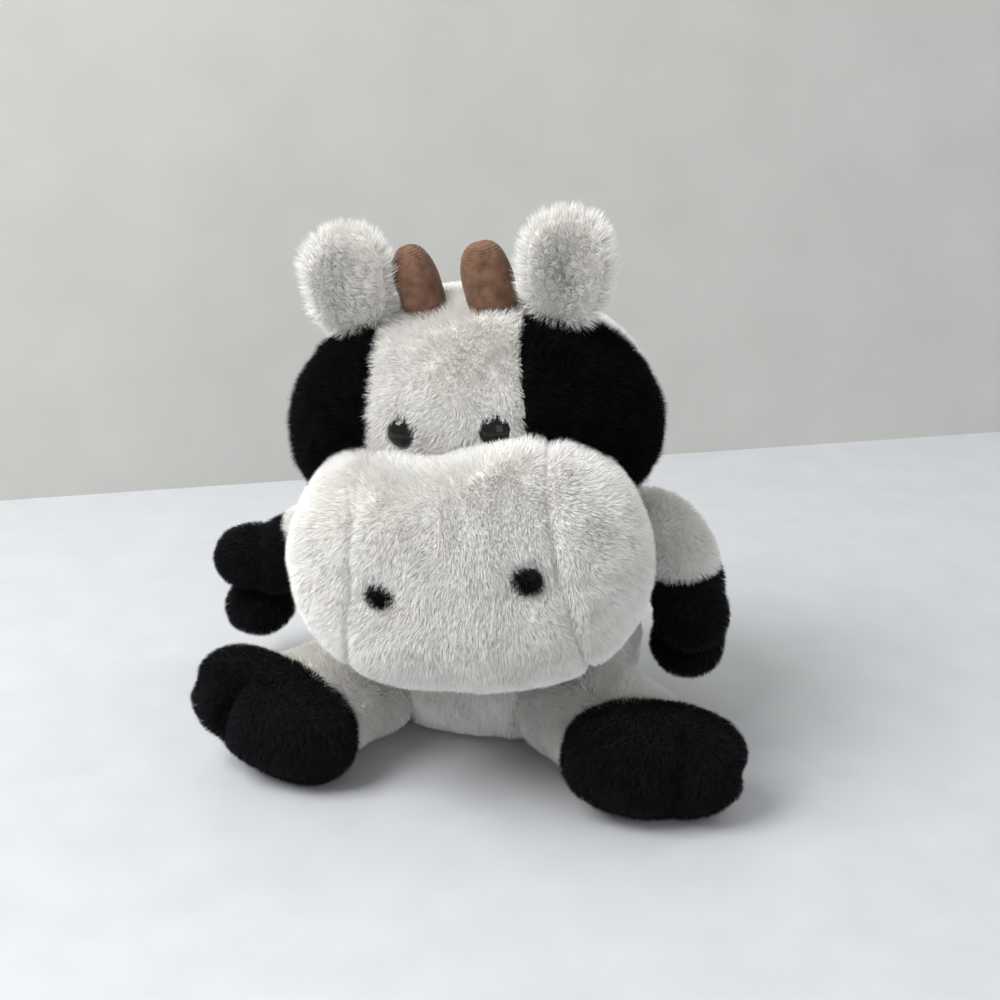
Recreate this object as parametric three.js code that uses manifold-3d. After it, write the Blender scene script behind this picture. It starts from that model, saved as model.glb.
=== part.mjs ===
// A plush cow hand puppet, sitting up with its legs spread and its soles to the front.
// The hand goes in through a slit low in the back, one finger fills the head,
// and the thumb and middle finger fill the arms.
// Millimetres, +Z up, the face towards -Y, the toy's own left hand at +X.
// The origin lies on the flat seat that the toy sits on.

import * as THREE from 'three';
import { mergeVertices } from 'three/addons/utils/BufferGeometryUtils.js';
import Module from 'manifold-3d';

const wasm = await Module();
wasm.setup();

// Driving dimensions: the cloth and the play between pieces

const PLUSH = 4;              // plush cloth with its dense pile root
const LINING = 1.2;           // knitted lining of the hand and finger pockets
const SEAM_GAP = 0.3;         // play between pieces that touch
const TURNING_PLAY = 0.4;     // play round a limb's root where it turns in the body

// Driving dimensions: the body

const BODY_WIDTH = 150;
const BODY_DEPTH = 116;
const BODY_HEIGHT = 124;
const SEAT_SINK = 8;          // how much of the rounded bottom is squashed flat by sitting
const SEAT_PANEL = 4;
const BODY_TAPER = 0.19;      // share by which the body narrows upwards and widens downwards

// Driving dimensions: the room for the hand

const PALM_WIDTH = 76;
const PALM_DEPTH = 44;
const PALM_FLOOR = 14;
const PALM_CEILING = 88;
const PALM_BACKSET = 10;
const WAD_LAP = 4;            // how far the wads of filling reach over the hand room's rounded corners
const SLIT_WIDTH = 80;
const SLIT_HEIGHT = 44;
const SLIT_SILL = 13;
const HEM_WIDTH = 4;
const HEM_STAND = 1.2;
const FINGER_RADIUS = 10;
const HEAD_FINGER_RADIUS = 17;
const HEAD_FINGER_DEPTH = 56;

// Driving dimensions: the neck and the head

const NECK_HEIGHT = 119;
const NECK_BALL = 26;
const NECK_BAND = 3.6;
const NECK_BAND_TOP = 13;     // how far below the neck's centre the band ends
const HEAD_LEAN = 4;
const HEAD_TURN = 4;
const HEAD_WIDTH = 172;
const HEAD_DEPTH = 124;
const HEAD_HEIGHT = 112;
const HEAD_TAPER = 0.12;      // share by which the head narrows upwards
const HEAD_RISE = 48;         // head centre above the neck's centre
const HEAD_FORWARD = 18;
const HEAD_ROOM = 7;          // free space between the head and the shoulders

// Driving dimensions: the face

const MUZZLE_WIDTH = 160;
const MUZZLE_DEPTH = 100;
const MUZZLE_HEIGHT = 118;
const MUZZLE_SQUARE = 2.7;    // 2 is an egg, higher is squarer
const MUZZLE_TAPER = 0.05;    // share by which the muzzle narrows upwards
const MUZZLE_DROP = 4;        // muzzle centre below the neck's centre
const MUZZLE_FORWARD = 75;
const MUZZLE_ASIDE = 3;       // the muzzle is sewn on a little towards the toy's left
const MUZZLE_ROOM = 15;       // free space behind and beside the muzzle for turning and nodding
const MUZZLE_SEAM = 46;       // half width of the muzzle's centre panel
const MUZZLE_SEAM_LEAN = 9;
const BROW_DIP = 12;          // how far the muzzle's top sinks in front of the eyes
const BROW_WIDTH = 27;
const BROW_ASIDE = -11;       // middle of the dip, from the muzzle's middle
const NOSTRIL_SPREAD = 32;
const NOSTRIL_RISE = { left: 8, right: 1 };
const NOSTRIL_WIDTH = 13;
const NOSTRIL_HEIGHT = 11;
const NOSTRIL_DIMPLE = 5;
const BLAZE_EDGE = { left: 34, right: 39 };
const BLAZE_LEAN = 5;
const CROWN_SEAM = 11;        // how far behind the head's middle the black patches end
const CROWN_SEAM_LEAN = 22;
const CHIN_SEAM = 38;         // how far below the head's middle the face panels end
const EYE_RADIUS = 7;
const EYE_DOME = 4.6;
const EYE_STEM = 2;
const EYE_STEM_LENGTH = 10;
const WASHER_DEPTH = 6.4;
const EYE_ROOM_SEGMENTS = 12;
const EYE_SPREAD = 20.5;
const EYE_ASIDE = -2;         // the eyes sit a little towards the toy's right
const EYE_RISE = 8;           // above the head's centre
const WASHER_RADIUS = 8.5;
const WASHER_THICKNESS = 1.6;

// Driving dimensions: ears and horns

const EAR_WIDTH = 36;
const EAR_HEIGHT = { left: 46, right: 43 };
const EAR_TAPER = -0.1;        // the ear widens upwards
const EAR_THICKNESS = 13;
const EAR_CUP = 5;
const EAR_ROOT = 4;           // how far the ear reaches below its hinge
const EAR_SPREAD = { left: 46.5, right: 47 };
const EAR_FLOP = [-40, -20, 0, 20, 40];  // steps of the swing that the ear's root is rounded for
const EAR_FORWARD = 20;
const EAR_SPLAY = { left: 7, right: -5 };
const HORN_WIDTH = { left: 23, right: 20 };
const HORN_HEIGHT = 29;
const HORN_ROOT = 12;
const HORN_SPREAD = { left: 15, right: 16 };
const HORN_FORWARD = 15;
const HORN_LEAN = { left: 9, right: 15 };

// Driving dimensions: arms, legs and hooves

const SHOULDER_SPREAD = 56;
const SHOULDER_HEIGHT = 90;
const SHOULDER_BACK = 8;
const ARM_RADIUS = 19;
const ARM_REACH = { left: 46, right: 72 };
const ARM_ARCH = { left: 35, right: -7 };
const ARM_BEND = { left: 0.9, right: 0.65 };   // share of the reach where the arm bends
const ARM_DROP = { left: 42, right: 37 };
const ARM_LOWER = 10;         // how far an arm lowers, in degrees
const ARM_IN_FLANK = 0.4;     // share of the arm's length that the body's flank makes room for
const ARM_POCKET_DEPTH = 0.5; // share of the arm's length that the finger pocket fills
const HOOF_TOE = [37, 36, 31];  // one toe of a hoof: along the arm's reach, across and up
const HOOF_SEAM = { left: 35, right: 37 };  // distance from the hoof's middle to the sleeve
const HOOF_SPLIT = 30;        // distance between the centres of the hoof's two toes
const HOOF_LEAN = { left: 6, right: 4 };
const HOOF_TWIST = { left: 36, right: 8 };
const HIP_SPREAD = 52;
const HIP_FORWARD = 44;
const HIP_HEIGHT = 28.5;
const LEG_RADIUS = 27;
const LEG_LENGTH = { left: 64, right: 57 };
const LEG_YAW = { left: 45, right: 34 };
const LEG_SWEEP = [0, -37, -75];
const FOOT_LENGTH = 85;
const FOOT_HEIGHT = 55;
const FOOT_THICKNESS = 42;
const FOOT_ROLL = { left: -6, right: 22 };
const FOOT_YAW = { left: 12, right: 8 };
const FOOT_CLEARANCE = 0.3;
const SOLE_DEPTH = 9;
const SOLE_VALLEY = { left: 3, right: 6 };
const VALLEY_PLACE = { left: 0.24, right: 0.4 };  // share of the half sole from its middle to the toes
const VALLEY_WIDTH = 0.16;     // share of the half sole
const TOE_CLEFT = 5;
const CLEFT_WIDTH = 7;

const HALF_SPACE = 600;       // side of the boxes that stand for one side of a cutting plane
const BALL_SEGMENTS = 14;
const BALL_RINGS = 8;
const DEGREE = Math.PI / 180;

// The toy's left side is at +X, its right side at -X

const SIDES = { left: 1, right: -1 };

const FINISHES = {
  whitePlush: { color: '#f1efea', roughness: 0.95, metalness: 0 },
  blackPlush: { color: '#121215', roughness: 0.95, metalness: 0 },
  stuffing: { color: '#fbfbf6', roughness: 1, metalness: 0 },
  lining: { color: '#e6e2d8', roughness: 0.9, metalness: 0 },
  hornCloth: { color: '#9a6c52', roughness: 0.85, metalness: 0 },
  eyePlastic: { color: '#0b0a0c', roughness: 0.08, metalness: 0 },
  washerPlastic: { color: '#dddcd6', roughness: 0.5, metalness: 0 },
  nostrilFelt: { color: '#1d1a1d', roughness: 0.95, metalness: 0 },
};

// Groups carry the toy's frames: a group's origin is the point that its pieces turn about

function frame(parent, position, turns = [0, 0, 0]) {
  const group = new THREE.Group();
  group.position.set(...position);
  group.rotation.set(...turns.map((angle) => angle * DEGREE), 'ZYX');
  parent.add(group);
  group.updateWorldMatrix(true, false);
  return group;
}

const puppet = new THREE.Group();
puppet.name = 'cow_hand_puppet';
const neck = frame(puppet, [0, 0, NECK_HEIGHT]);
const head = frame(neck, [0, 0, 0], [0, -HEAD_LEAN, HEAD_TURN]);
const headCentre = [0, -HEAD_FORWARD, HEAD_RISE];
const muzzleCentre = [MUZZLE_ASIDE, -MUZZLE_FORWARD, -MUZZLE_DROP];

// Closed forms

/** A closed skin of rings between two poles; at(turn, rise) gives a point of it. */
function closedForm(segments, rings, at) {
  const points = [at(0, -Math.PI / 2)];
  for (let ring = 1; ring < rings; ring += 1) {
    for (let step = 0; step < segments; step += 1) {
      points.push(at((step / segments) * 2 * Math.PI, (ring / rings - 0.5) * Math.PI));
    }
  }
  points.push(at(0, Math.PI / 2));
  const last = points.length - 1;
  const faces = [];
  for (let step = 0; step < segments; step += 1) {
    const next = (step + 1) % segments;
    faces.push([0, 1 + next, 1 + step]);
    for (let ring = 0; ring < rings - 2; ring += 1) {
      const low = 1 + ring * segments;
      const high = low + segments;
      faces.push([low + step, low + next, high + next], [low + step, high + next, high + step]);
    }
    const top = 1 + (rings - 2) * segments;
    faces.push([last, top + step, top + next]);
  }
  const geometry = new THREE.BufferGeometry();
  geometry.setAttribute('position', new THREE.Float32BufferAttribute(points.flatMap((p) => p.toArray()), 3));
  geometry.setIndex(faces.flat());
  return geometry;
}

/** A padded form, rounder than a box and fuller than an egg; bend(point) shapes it further. */
function roundForm(size, { square = 2.2, segments = 20, rings = 12, grow = 0, bend = null } = {}) {
  const [a, b, c] = size.map((side) => side / 2 + grow);
  const full = (value) => Math.sign(value) * Math.abs(value) ** (2 / square);
  return closedForm(segments, rings, (turn, rise) => {
    const girth = full(Math.cos(rise));
    const point = new THREE.Vector3(
      a * girth * full(Math.cos(turn)),
      b * girth * full(Math.sin(turn)),
      c * full(Math.sin(rise)),
    );
    if (bend) bend(point, [a, b, c]);
    return point;
  });
}

/** A stuffed tube with rounded ends along a curve that lies in a plane square to across. */
function limbForm(curve, radius, { across = [0, 1, 0], segments = 16, rings = 12, grow = 0 } = {}) {
  const side = new THREE.Vector3(...across);
  return closedForm(segments, rings, (turn, rise) => {
    const along = 0.5 + 0.5 * Math.sin(rise);
    const tangent = curve.getTangent(along);
    const up = new THREE.Vector3().crossVectors(tangent, side).normalize();
    const end = 2 * along - 1;
    const girth = (radius + grow) * Math.sqrt(Math.max(0, 1 - Math.abs(end) ** 5));
    return curve.getPoint(along)
      .addScaledVector(tangent, grow * end)
      .addScaledVector(side, -girth * Math.cos(turn))
      .addScaledVector(up, -girth * Math.sin(turn));
  });
}

/** A turned form from a profile of [radius, height] points that starts and ends on the axis. */
function turnedForm(profile, segments = 16) {
  const outline = profile.map(([radius, height]) => new THREE.Vector2(radius, height));
  return new THREE.LatheGeometry(outline, segments).rotateX(Math.PI / 2);
}

// Solids in the toy's frame

/** The closed solid of a geometry that lies in a group's own frame. */
function solid(group, geometry, position = [0, 0, 0]) {
  const bare = geometry.clone();
  bare.deleteAttribute('normal');
  bare.deleteAttribute('uv');
  bare.translate(...position).applyMatrix4(group.matrixWorld);
  const merged = mergeVertices(bare, 1e-4);
  const triangles = Uint32Array.from(merged.index.array);
  const shape = new wasm.Mesh({
    numProp: 3,
    vertProperties: Float32Array.from(merged.attributes.position.array),
    triVerts: triangles,
  });
  shape.merge();
  return new wasm.Manifold(shape);
}

/** A ball about a point of a group's frame. */
function ball(group, centre, radius, segments = BALL_SEGMENTS, rings = BALL_RINGS) {
  const side = 2 * radius;
  return solid(group, roundForm([side, side, side], { square: 2, segments, rings }), centre);
}

/** A faceted hollow that a ball of the given radius turns in; its flats face the ball's corners. */
function socket(group, centre, radius, segments = BALL_SEGMENTS, rings = BALL_RINGS) {
  const flats = Math.cos(Math.PI / segments) * Math.cos(Math.PI / (2 * rings));
  const side = (2 * radius) / flats;
  const form = roundForm([side, side, side], { square: 2, segments, rings });
  return solid(group, form.rotateZ(Math.PI / segments), centre);
}

/** A round bar from one point to another. */
function bar(group, from, to, radius, segments = 18) {
  const start = new THREE.Vector3(...from);
  const reach = new THREE.Vector3(...to).sub(start);
  const geometry = new THREE.CylinderGeometry(radius, radius, reach.length(), segments);
  geometry.translate(0, reach.length() / 2, 0);
  geometry.applyQuaternion(
    new THREE.Quaternion().setFromUnitVectors(new THREE.Vector3(0, 1, 0), reach.clone().normalize()),
  );
  return solid(group, geometry, from);
}

/** All space on the side of a plane that its normal points to. */
function halfSpace(group, point, normal) {
  const direction = new THREE.Vector3(...normal).normalize();
  const geometry = new THREE.BoxGeometry(HALF_SPACE, HALF_SPACE, HALF_SPACE);
  geometry.translate(0, 0, HALF_SPACE / 2);
  geometry.applyQuaternion(
    new THREE.Quaternion().setFromUnitVectors(new THREE.Vector3(0, 0, 1), direction),
  );
  return solid(group, geometry, point);
}

function joined(solids) {
  return solids.reduce((whole, piece) => whole.add(piece));
}

function without(whole, cutters) {
  return cutters.reduce((rest, cutter) => rest.subtract(cutter), whole);
}

/** The point where a line in a group's frame first meets a geometry of that frame, and the normal there. */
function surfaceAt(geometry, position, from, direction) {
  const target = new THREE.Mesh(geometry.clone().translate(...position),
    new THREE.MeshBasicMaterial({ side: THREE.DoubleSide }));
  const line = new THREE.Raycaster(
    new THREE.Vector3(...from),
    new THREE.Vector3(...direction).normalize(),
  );
  const [hit] = line.intersectObject(target);
  return { point: hit.point, normal: hit.face.normal.clone() };
}

/** A named piece, kept in the frame of the group that carries it. */
function addPiece(group, name, shape, finish) {
  const { vertProperties, triVerts, numProp } = shape.getMesh();
  const corners = new Float32Array((vertProperties.length / numProp) * 3);
  for (let i = 0; i < corners.length / 3; i += 1) {
    corners.set(vertProperties.subarray(i * numProp, i * numProp + 3), i * 3);
  }
  const geometry = new THREE.BufferGeometry();
  geometry.setAttribute('position', new THREE.BufferAttribute(corners, 3));
  geometry.setIndex(Array.from(triVerts));
  geometry.applyMatrix4(group.matrixWorld.clone().invert());
  geometry.computeVertexNormals();
  const piece = new THREE.Mesh(geometry, new THREE.MeshStandardMaterial(FINISHES[finish]));
  piece.name = name;
  group.add(piece);
}

// The outer forms of the large pieces

function bodyForm(grow, segments = 18, rings = 10) {
  const size = [BODY_WIDTH, BODY_DEPTH, BODY_HEIGHT + SEAT_SINK];
  const bend = (point, [, , c]) => {
    const narrow = 1 - BODY_TAPER * (point.z / c);
    point.x *= narrow;
    point.y *= narrow;
  };
  return solid(puppet, roundForm(size, { segments, rings, grow, bend }),
    [0, 0, (BODY_HEIGHT - SEAT_SINK) / 2]);
}

function headGeometry(grow, segments = 20, rings = 10) {
  const bend = (point, [, , c]) => {
    point.x *= 1 - HEAD_TAPER * (point.z / c);
  };
  return roundForm([HEAD_WIDTH, HEAD_DEPTH, HEAD_HEIGHT], { segments, rings, grow, bend });
}

function headForm(grow, segments, rings) {
  return solid(head, headGeometry(grow, segments, rings), headCentre);
}

/** How far the muzzle's top gives way to the eyes: most in its middle and against the head. */
function browDip(point, top) {
  const aside = (point.x - BROW_ASIDE) / BROW_WIDTH;
  const back = Math.min(1, Math.max(0, 1 + point.y / (MUZZLE_DEPTH / 2)));
  return BROW_DIP * Math.exp(-(aside ** 2)) * back * Math.max(0, point.z / top);
}

/** The muzzle bun: flat-fronted, wider low down, with a dimple at each nostril. */
function muzzleGeometry(grow, segments = 20, rings = 10) {
  const dimple = (point) => {
    const reaches = Object.entries(SIDES).map(([side, sign]) => Math.hypot(
      point.x - sign * NOSTRIL_SPREAD,
      point.z - NOSTRIL_RISE[side],
    ));
    return NOSTRIL_DIMPLE * Math.exp(-((Math.min(...reaches) / NOSTRIL_WIDTH) ** 2));
  };
  const bend = (point, [, , c]) => {
    point.x *= 1 - MUZZLE_TAPER * (point.z / c);
    if (point.y < 0) point.y += dimple(point);
    point.z -= browDip(point, c);
  };
  return roundForm([MUZZLE_WIDTH, MUZZLE_DEPTH, MUZZLE_HEIGHT],
    { square: MUZZLE_SQUARE, segments, rings, grow, bend });
}

function muzzleForm(grow, segments, rings) {
  return solid(head, muzzleGeometry(grow, segments, rings), muzzleCentre);
}

// The neck band lies between the head's neck ball and the body's neck hollow

const neckBandOuter = NECK_BALL + SEAM_GAP + NECK_BAND;

// Where the limbs turn in the body

const hips = Object.fromEntries(Object.entries(SIDES).map(([side, sign]) => {
  const yaw = sign * LEG_YAW[side];
  return [side, frame(puppet, [sign * HIP_SPREAD, -HIP_FORWARD, HIP_HEIGHT], [0, 0, yaw])];
}));

const shoulders = Object.fromEntries(Object.entries(SIDES).map(([side, sign]) => (
  [side, frame(puppet, [sign * SHOULDER_SPREAD, SHOULDER_BACK, SHOULDER_HEIGHT], [0, 0, sign > 0 ? 0 : 180])]
)));

/** The space that a leg fills from its rest down to hanging, with the given play. */
function legRoom(side, play, segments) {
  const radius = (LEG_RADIUS + play) / Math.cos(Math.PI / segments);
  const swings = LEG_SWEEP.map((angle) => {
    const down = angle * DEGREE;
    const end = [0, -LEG_LENGTH[side] * Math.cos(down), LEG_LENGTH[side] * Math.sin(down)];
    return bar(hips[side], [0, 0, 0], end, radius, segments);
  });
  return joined([socket(hips[side], [0, 0, 0], LEG_RADIUS + play, segments, segments / 2), ...swings]);
}

/** The arm's middle line, from inside its root ball up over the arch and down to the hoof. */
function armCurve(side) {
  return new THREE.QuadraticBezierCurve3(
    new THREE.Vector3(-ARM_RADIUS / 4, 0, 0),
    new THREE.Vector3(ARM_REACH[side] * ARM_BEND[side], 0, ARM_ARCH[side]),
    new THREE.Vector3(ARM_REACH[side], 0, -ARM_DROP[side]),
  );
}

/** The space that an arm's root fills from its rest down to its lowest. */
function armRoom(side, play, segments) {
  const radius = (ARM_RADIUS + play) / Math.cos(Math.PI / segments);
  const flank = armCurve(side).getPoint(ARM_IN_FLANK);
  const slope = Math.atan2(flank.z, flank.x) - ARM_LOWER * DEGREE;
  const lowest = [flank.x, 0, flank.x * Math.tan(slope)];
  return joined([
    socket(shoulders[side], [0, 0, 0], ARM_RADIUS + play, segments, segments / 2),
    bar(shoulders[side], [0, 0, 0], flank.toArray(), radius, segments),
    bar(shoulders[side], [0, 0, 0], lowest, radius, segments),
  ]);
}

/** Everything that the body gives way to, with a margin of cloth inside it. */
function bodyRooms(margin, segments = 10) {
  const play = TURNING_PLAY + margin;
  return [
    headForm(HEAD_ROOM + margin, 12, 6),
    muzzleForm(MUZZLE_ROOM + margin, 14, 8),
    socket(neck, [0, 0, 0], neckBandOuter + SEAM_GAP + margin, BALL_SEGMENTS, 6),
    ...Object.keys(SIDES).flatMap((side) => [
      legRoom(side, play, segments),
      armRoom(side, play, segments),
    ]),
  ];
}

// The room for the hand

const palmCentre = [0, PALM_BACKSET, (PALM_FLOOR + PALM_CEILING) / 2];

/** The hand's cavity: a slit from the back, a palm, a neck hole and a passage to each arm. */
function handRoom(grow) {
  const palm = roundForm([PALM_WIDTH, PALM_DEPTH, PALM_CEILING - PALM_FLOOR],
    { square: 3, segments: 12, rings: 6, grow });
  return joined([
    solid(puppet, palm, palmCentre),
    slitRoom(grow),
    bar(puppet, [0, 0, PALM_CEILING - PALM_DEPTH / 2], [0, 0, NECK_HEIGHT], HEAD_FINGER_RADIUS + grow, 14),
    bar(puppet, [-SHOULDER_SPREAD, SHOULDER_BACK, SHOULDER_HEIGHT],
      [SHOULDER_SPREAD, SHOULDER_BACK, SHOULDER_HEIGHT],
      FINGER_RADIUS + grow, 10),
  ]);
}

function slitRoom(grow) {
  const slit = roundForm([SLIT_WIDTH, BODY_DEPTH, SLIT_HEIGHT],
    { square: 3.4, segments: 12, rings: 6, grow });
  return solid(puppet, slit, [0, PALM_BACKSET + BODY_DEPTH / 2, SLIT_SILL + SLIT_HEIGHT / 2]);
}

// The body

/** The filling is packed in wads round the hand's room; each lies on its own side of the palm. */
function wadRooms() {
  const half = SEAM_GAP / 2;
  const cut = (height, axis, way) => {
    const point = [0, 0, 0];
    const normal = [0, 0, 0];
    point[axis] = height + way * half;
    normal[axis] = way;
    return halfSpace(puppet, point, normal);
  };
  const all = (...rooms) => rooms.reduce((room, other) => room.intersect(other));
  const belly = PALM_BACKSET - PALM_DEPTH / 2 - WAD_LAP / 2;
  const spine = PALM_BACKSET + PALM_DEPTH / 2 - WAD_LAP;
  const seat = Math.min(PALM_FLOOR, SLIT_SILL) + WAD_LAP;
  const shoulder = SHOULDER_HEIGHT - FINGER_RADIUS - LINING - WAD_LAP;
  const flank = PALM_WIDTH / 2 - 2 * WAD_LAP;
  const sides = all(cut(belly, 1, 1), cut(seat, 2, 1), cut(shoulder, 2, -1));
  const front = all(cut(belly, 1, 1), cut(SHOULDER_BACK, 1, -1), cut(shoulder, 2, 1));
  return {
    belly_stuffing: cut(belly, 1, -1),
    seat_stuffing: all(cut(belly, 1, 1), cut(seat, 2, -1)),
    shoulder_stuffing_left: all(front, cut(0, 0, 1)),
    shoulder_stuffing_right: all(front, cut(0, 0, -1)),
    nape_stuffing: all(cut(SHOULDER_BACK, 1, 1), cut(shoulder, 2, 1)),
    flank_stuffing_left: all(sides, cut(flank, 0, 1)),
    flank_stuffing_right: all(sides, cut(-flank, 0, -1)),
    back_stuffing: all(sides, cut(flank, 0, -1), cut(-flank, 0, 1), cut(spine, 1, 1),
      cut(SLIT_SILL + SLIT_HEIGHT - WAD_LAP, 2, 1)),
  };
}

function buildBody() {
  const aboveSeat = halfSpace(puppet, [0, 0, SEAT_PANEL + SEAM_GAP], [0, 0, 1]);
  const belowSeam = halfSpace(puppet, [0, 0, SEAT_PANEL], [0, 0, -1]);
  const aboveFloor = halfSpace(puppet, [0, 0, 0], [0, 0, 1]);
  const outer = without(bodyForm(0), bodyRooms(0));
  const inner = without(bodyForm(-PLUSH, 14, 8), bodyRooms(PLUSH, 8));
  const core = without(bodyForm(-PLUSH - SEAM_GAP, 14, 8), bodyRooms(PLUSH + SEAM_GAP, 8));
  const lined = LINING + SEAM_GAP;
  const hemRoom = slitRoom(lined + HEM_WIDTH + SEAM_GAP);

  addPiece(puppet, 'body_skin',
    without(outer.intersect(aboveSeat), [inner, hemRoom, handRoom(lined)]), 'whitePlush');
  addPiece(puppet, 'seat_panel', outer.intersect(aboveFloor).intersect(belowSeam), 'whitePlush');
  const filling = core.intersect(aboveSeat).subtract(handRoom(lined));
  for (const [name, room] of Object.entries(wadRooms())) {
    addPiece(puppet, name, filling.intersect(room), 'stuffing');
  }

  const sleeve = handRoom(LINING).subtract(handRoom(0));
  addPiece(puppet, 'hand_lining',
    without(sleeve.intersect(outer), bodyRooms(SEAM_GAP)), 'lining');

  const band = slitRoom(lined + HEM_WIDTH).subtract(slitRoom(lined));
  const proud = bodyForm(HEM_STAND).subtract(bodyForm(-PLUSH, 14, 8));
  const behindPalm = halfSpace(puppet, [0, BODY_DEPTH / 4, 0], [0, 1, 0]);
  addPiece(puppet, 'opening_hem', band.intersect(proud).intersect(behindPalm), 'whitePlush');
}

// The neck

function buildNeck() {
  const inner = socket(neck, [0, 0, 0], NECK_BALL + SEAM_GAP, BALL_SEGMENTS, 5);
  const outer = ball(neck, [0, 0, 0], neckBandOuter);
  const hole = bar(neck, [0, 0, -2 * NECK_BALL], [0, 0, 0], HEAD_FINGER_RADIUS);
  const below = halfSpace(neck, [0, 0, -NECK_BAND_TOP], [0, 0, -1]);
  addPiece(neck, 'neck_band', without(outer, [inner, hole]).intersect(below), 'whitePlush');
}

// The head and the muzzle

const eyeOutline = (play) => {
  const base = EYE_RADIUS + play;
  const dome = [0, 25, 50, 72].map((angle) => [
    base * Math.cos(angle * DEGREE),
    (EYE_DOME + play) * Math.sin(angle * DEGREE),
  ]);
  return [[0, -EYE_STEM_LENGTH - play], [EYE_STEM + play, -EYE_STEM_LENGTH - play],
    [EYE_STEM + play, -2 - play], [base, -1.2 - play], ...dome, [0, EYE_DOME + play]];
};

/** A frame that stands on a surface point with its +Z along the normal there. */
function seatedFrame(parent, { point, normal }, sink = 0) {
  const group = new THREE.Group();
  group.position.copy(point).addScaledVector(normal, -sink);
  group.quaternion.setFromUnitVectors(new THREE.Vector3(0, 0, 1), normal);
  parent.add(group);
  group.updateWorldMatrix(true, false);
  return group;
}

function eyeSeat(sign) {
  const from = [EYE_ASIDE + sign * EYE_SPREAD, -HEAD_DEPTH - HEAD_FORWARD, HEAD_RISE + EYE_RISE];
  return seatedFrame(head, surfaceAt(headGeometry(0), headCentre, from, [0, 1, 0]), 1);
}

function nostrilSeat(side, sign) {
  const from = [MUZZLE_ASIDE + sign * NOSTRIL_SPREAD, -MUZZLE_FORWARD - MUZZLE_DEPTH,
    NOSTRIL_RISE[side] - MUZZLE_DROP];
  return seatedFrame(head, surfaceAt(muzzleGeometry(0), muzzleCentre, from, [0, 1, 0]), 0.4);
}

function washer(group, play) {
  const outer = WASHER_RADIUS + play;
  const hole = EYE_STEM + SEAM_GAP;
  const top = -WASHER_DEPTH;
  const bottom = top - WASHER_THICKNESS;
  return solid(group, turnedForm([[hole, bottom], [outer, bottom], [outer, top], [hole, top], [hole, bottom]]));
}

/** What the dome and the stem take out of the face's cloth: a faceted cup with a hole for the stem. */
function eyeRoom(group) {
  const cup = EYE_RADIUS + 2 * SEAM_GAP;
  const stem = EYE_STEM + SEAM_GAP;
  const deep = -WASHER_DEPTH - WASHER_THICKNESS - 2 * SEAM_GAP;
  const outline = [[0, deep], [stem, deep], [stem, -2 - SEAM_GAP], [cup, -1.2 - SEAM_GAP], [cup, EYE_DOME],
    [0, EYE_DOME + 2 * SEAM_GAP]];
  return solid(group, turnedForm(outline, EYE_ROOM_SEGMENTS));
}

/** What the washer and the stem's end take out of the stuffing. */
function washerRoom(group) {
  const disc = WASHER_RADIUS + 2 * SEAM_GAP;
  const top = SEAM_GAP - WASHER_DEPTH;
  const bottom = -EYE_STEM_LENGTH - SEAM_GAP;
  const stem = EYE_STEM + 2 * SEAM_GAP;
  const outline = [[0, bottom], [disc, bottom], [disc, top], [stem, top], [stem, 0], [0, 0]];
  return solid(group, turnedForm(outline, EYE_ROOM_SEGMENTS));
}

function nostril(group, grow) {
  const size = [NOSTRIL_WIDTH, NOSTRIL_HEIGHT, 4];
  return solid(group, roundForm(size, { square: 2.2, segments: 10, rings: 4, grow }));
}

/** The finger's room in the head, from the neck ball up. */
function headPocket(grow) {
  const depth = HEAD_FINGER_DEPTH;
  const radius = HEAD_FINGER_RADIUS + grow;
  const crown = [0, 22.5, 45, 67.5].map((angle) => [
    radius * Math.cos(angle * DEGREE),
    depth - HEAD_FINGER_RADIUS + radius * Math.sin(angle * DEGREE),
  ]);
  return solid(head, turnedForm([[0, -2 * NECK_BALL], [radius, -2 * NECK_BALL], ...crown,
    [0, depth + grow]], 14));
}

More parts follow.
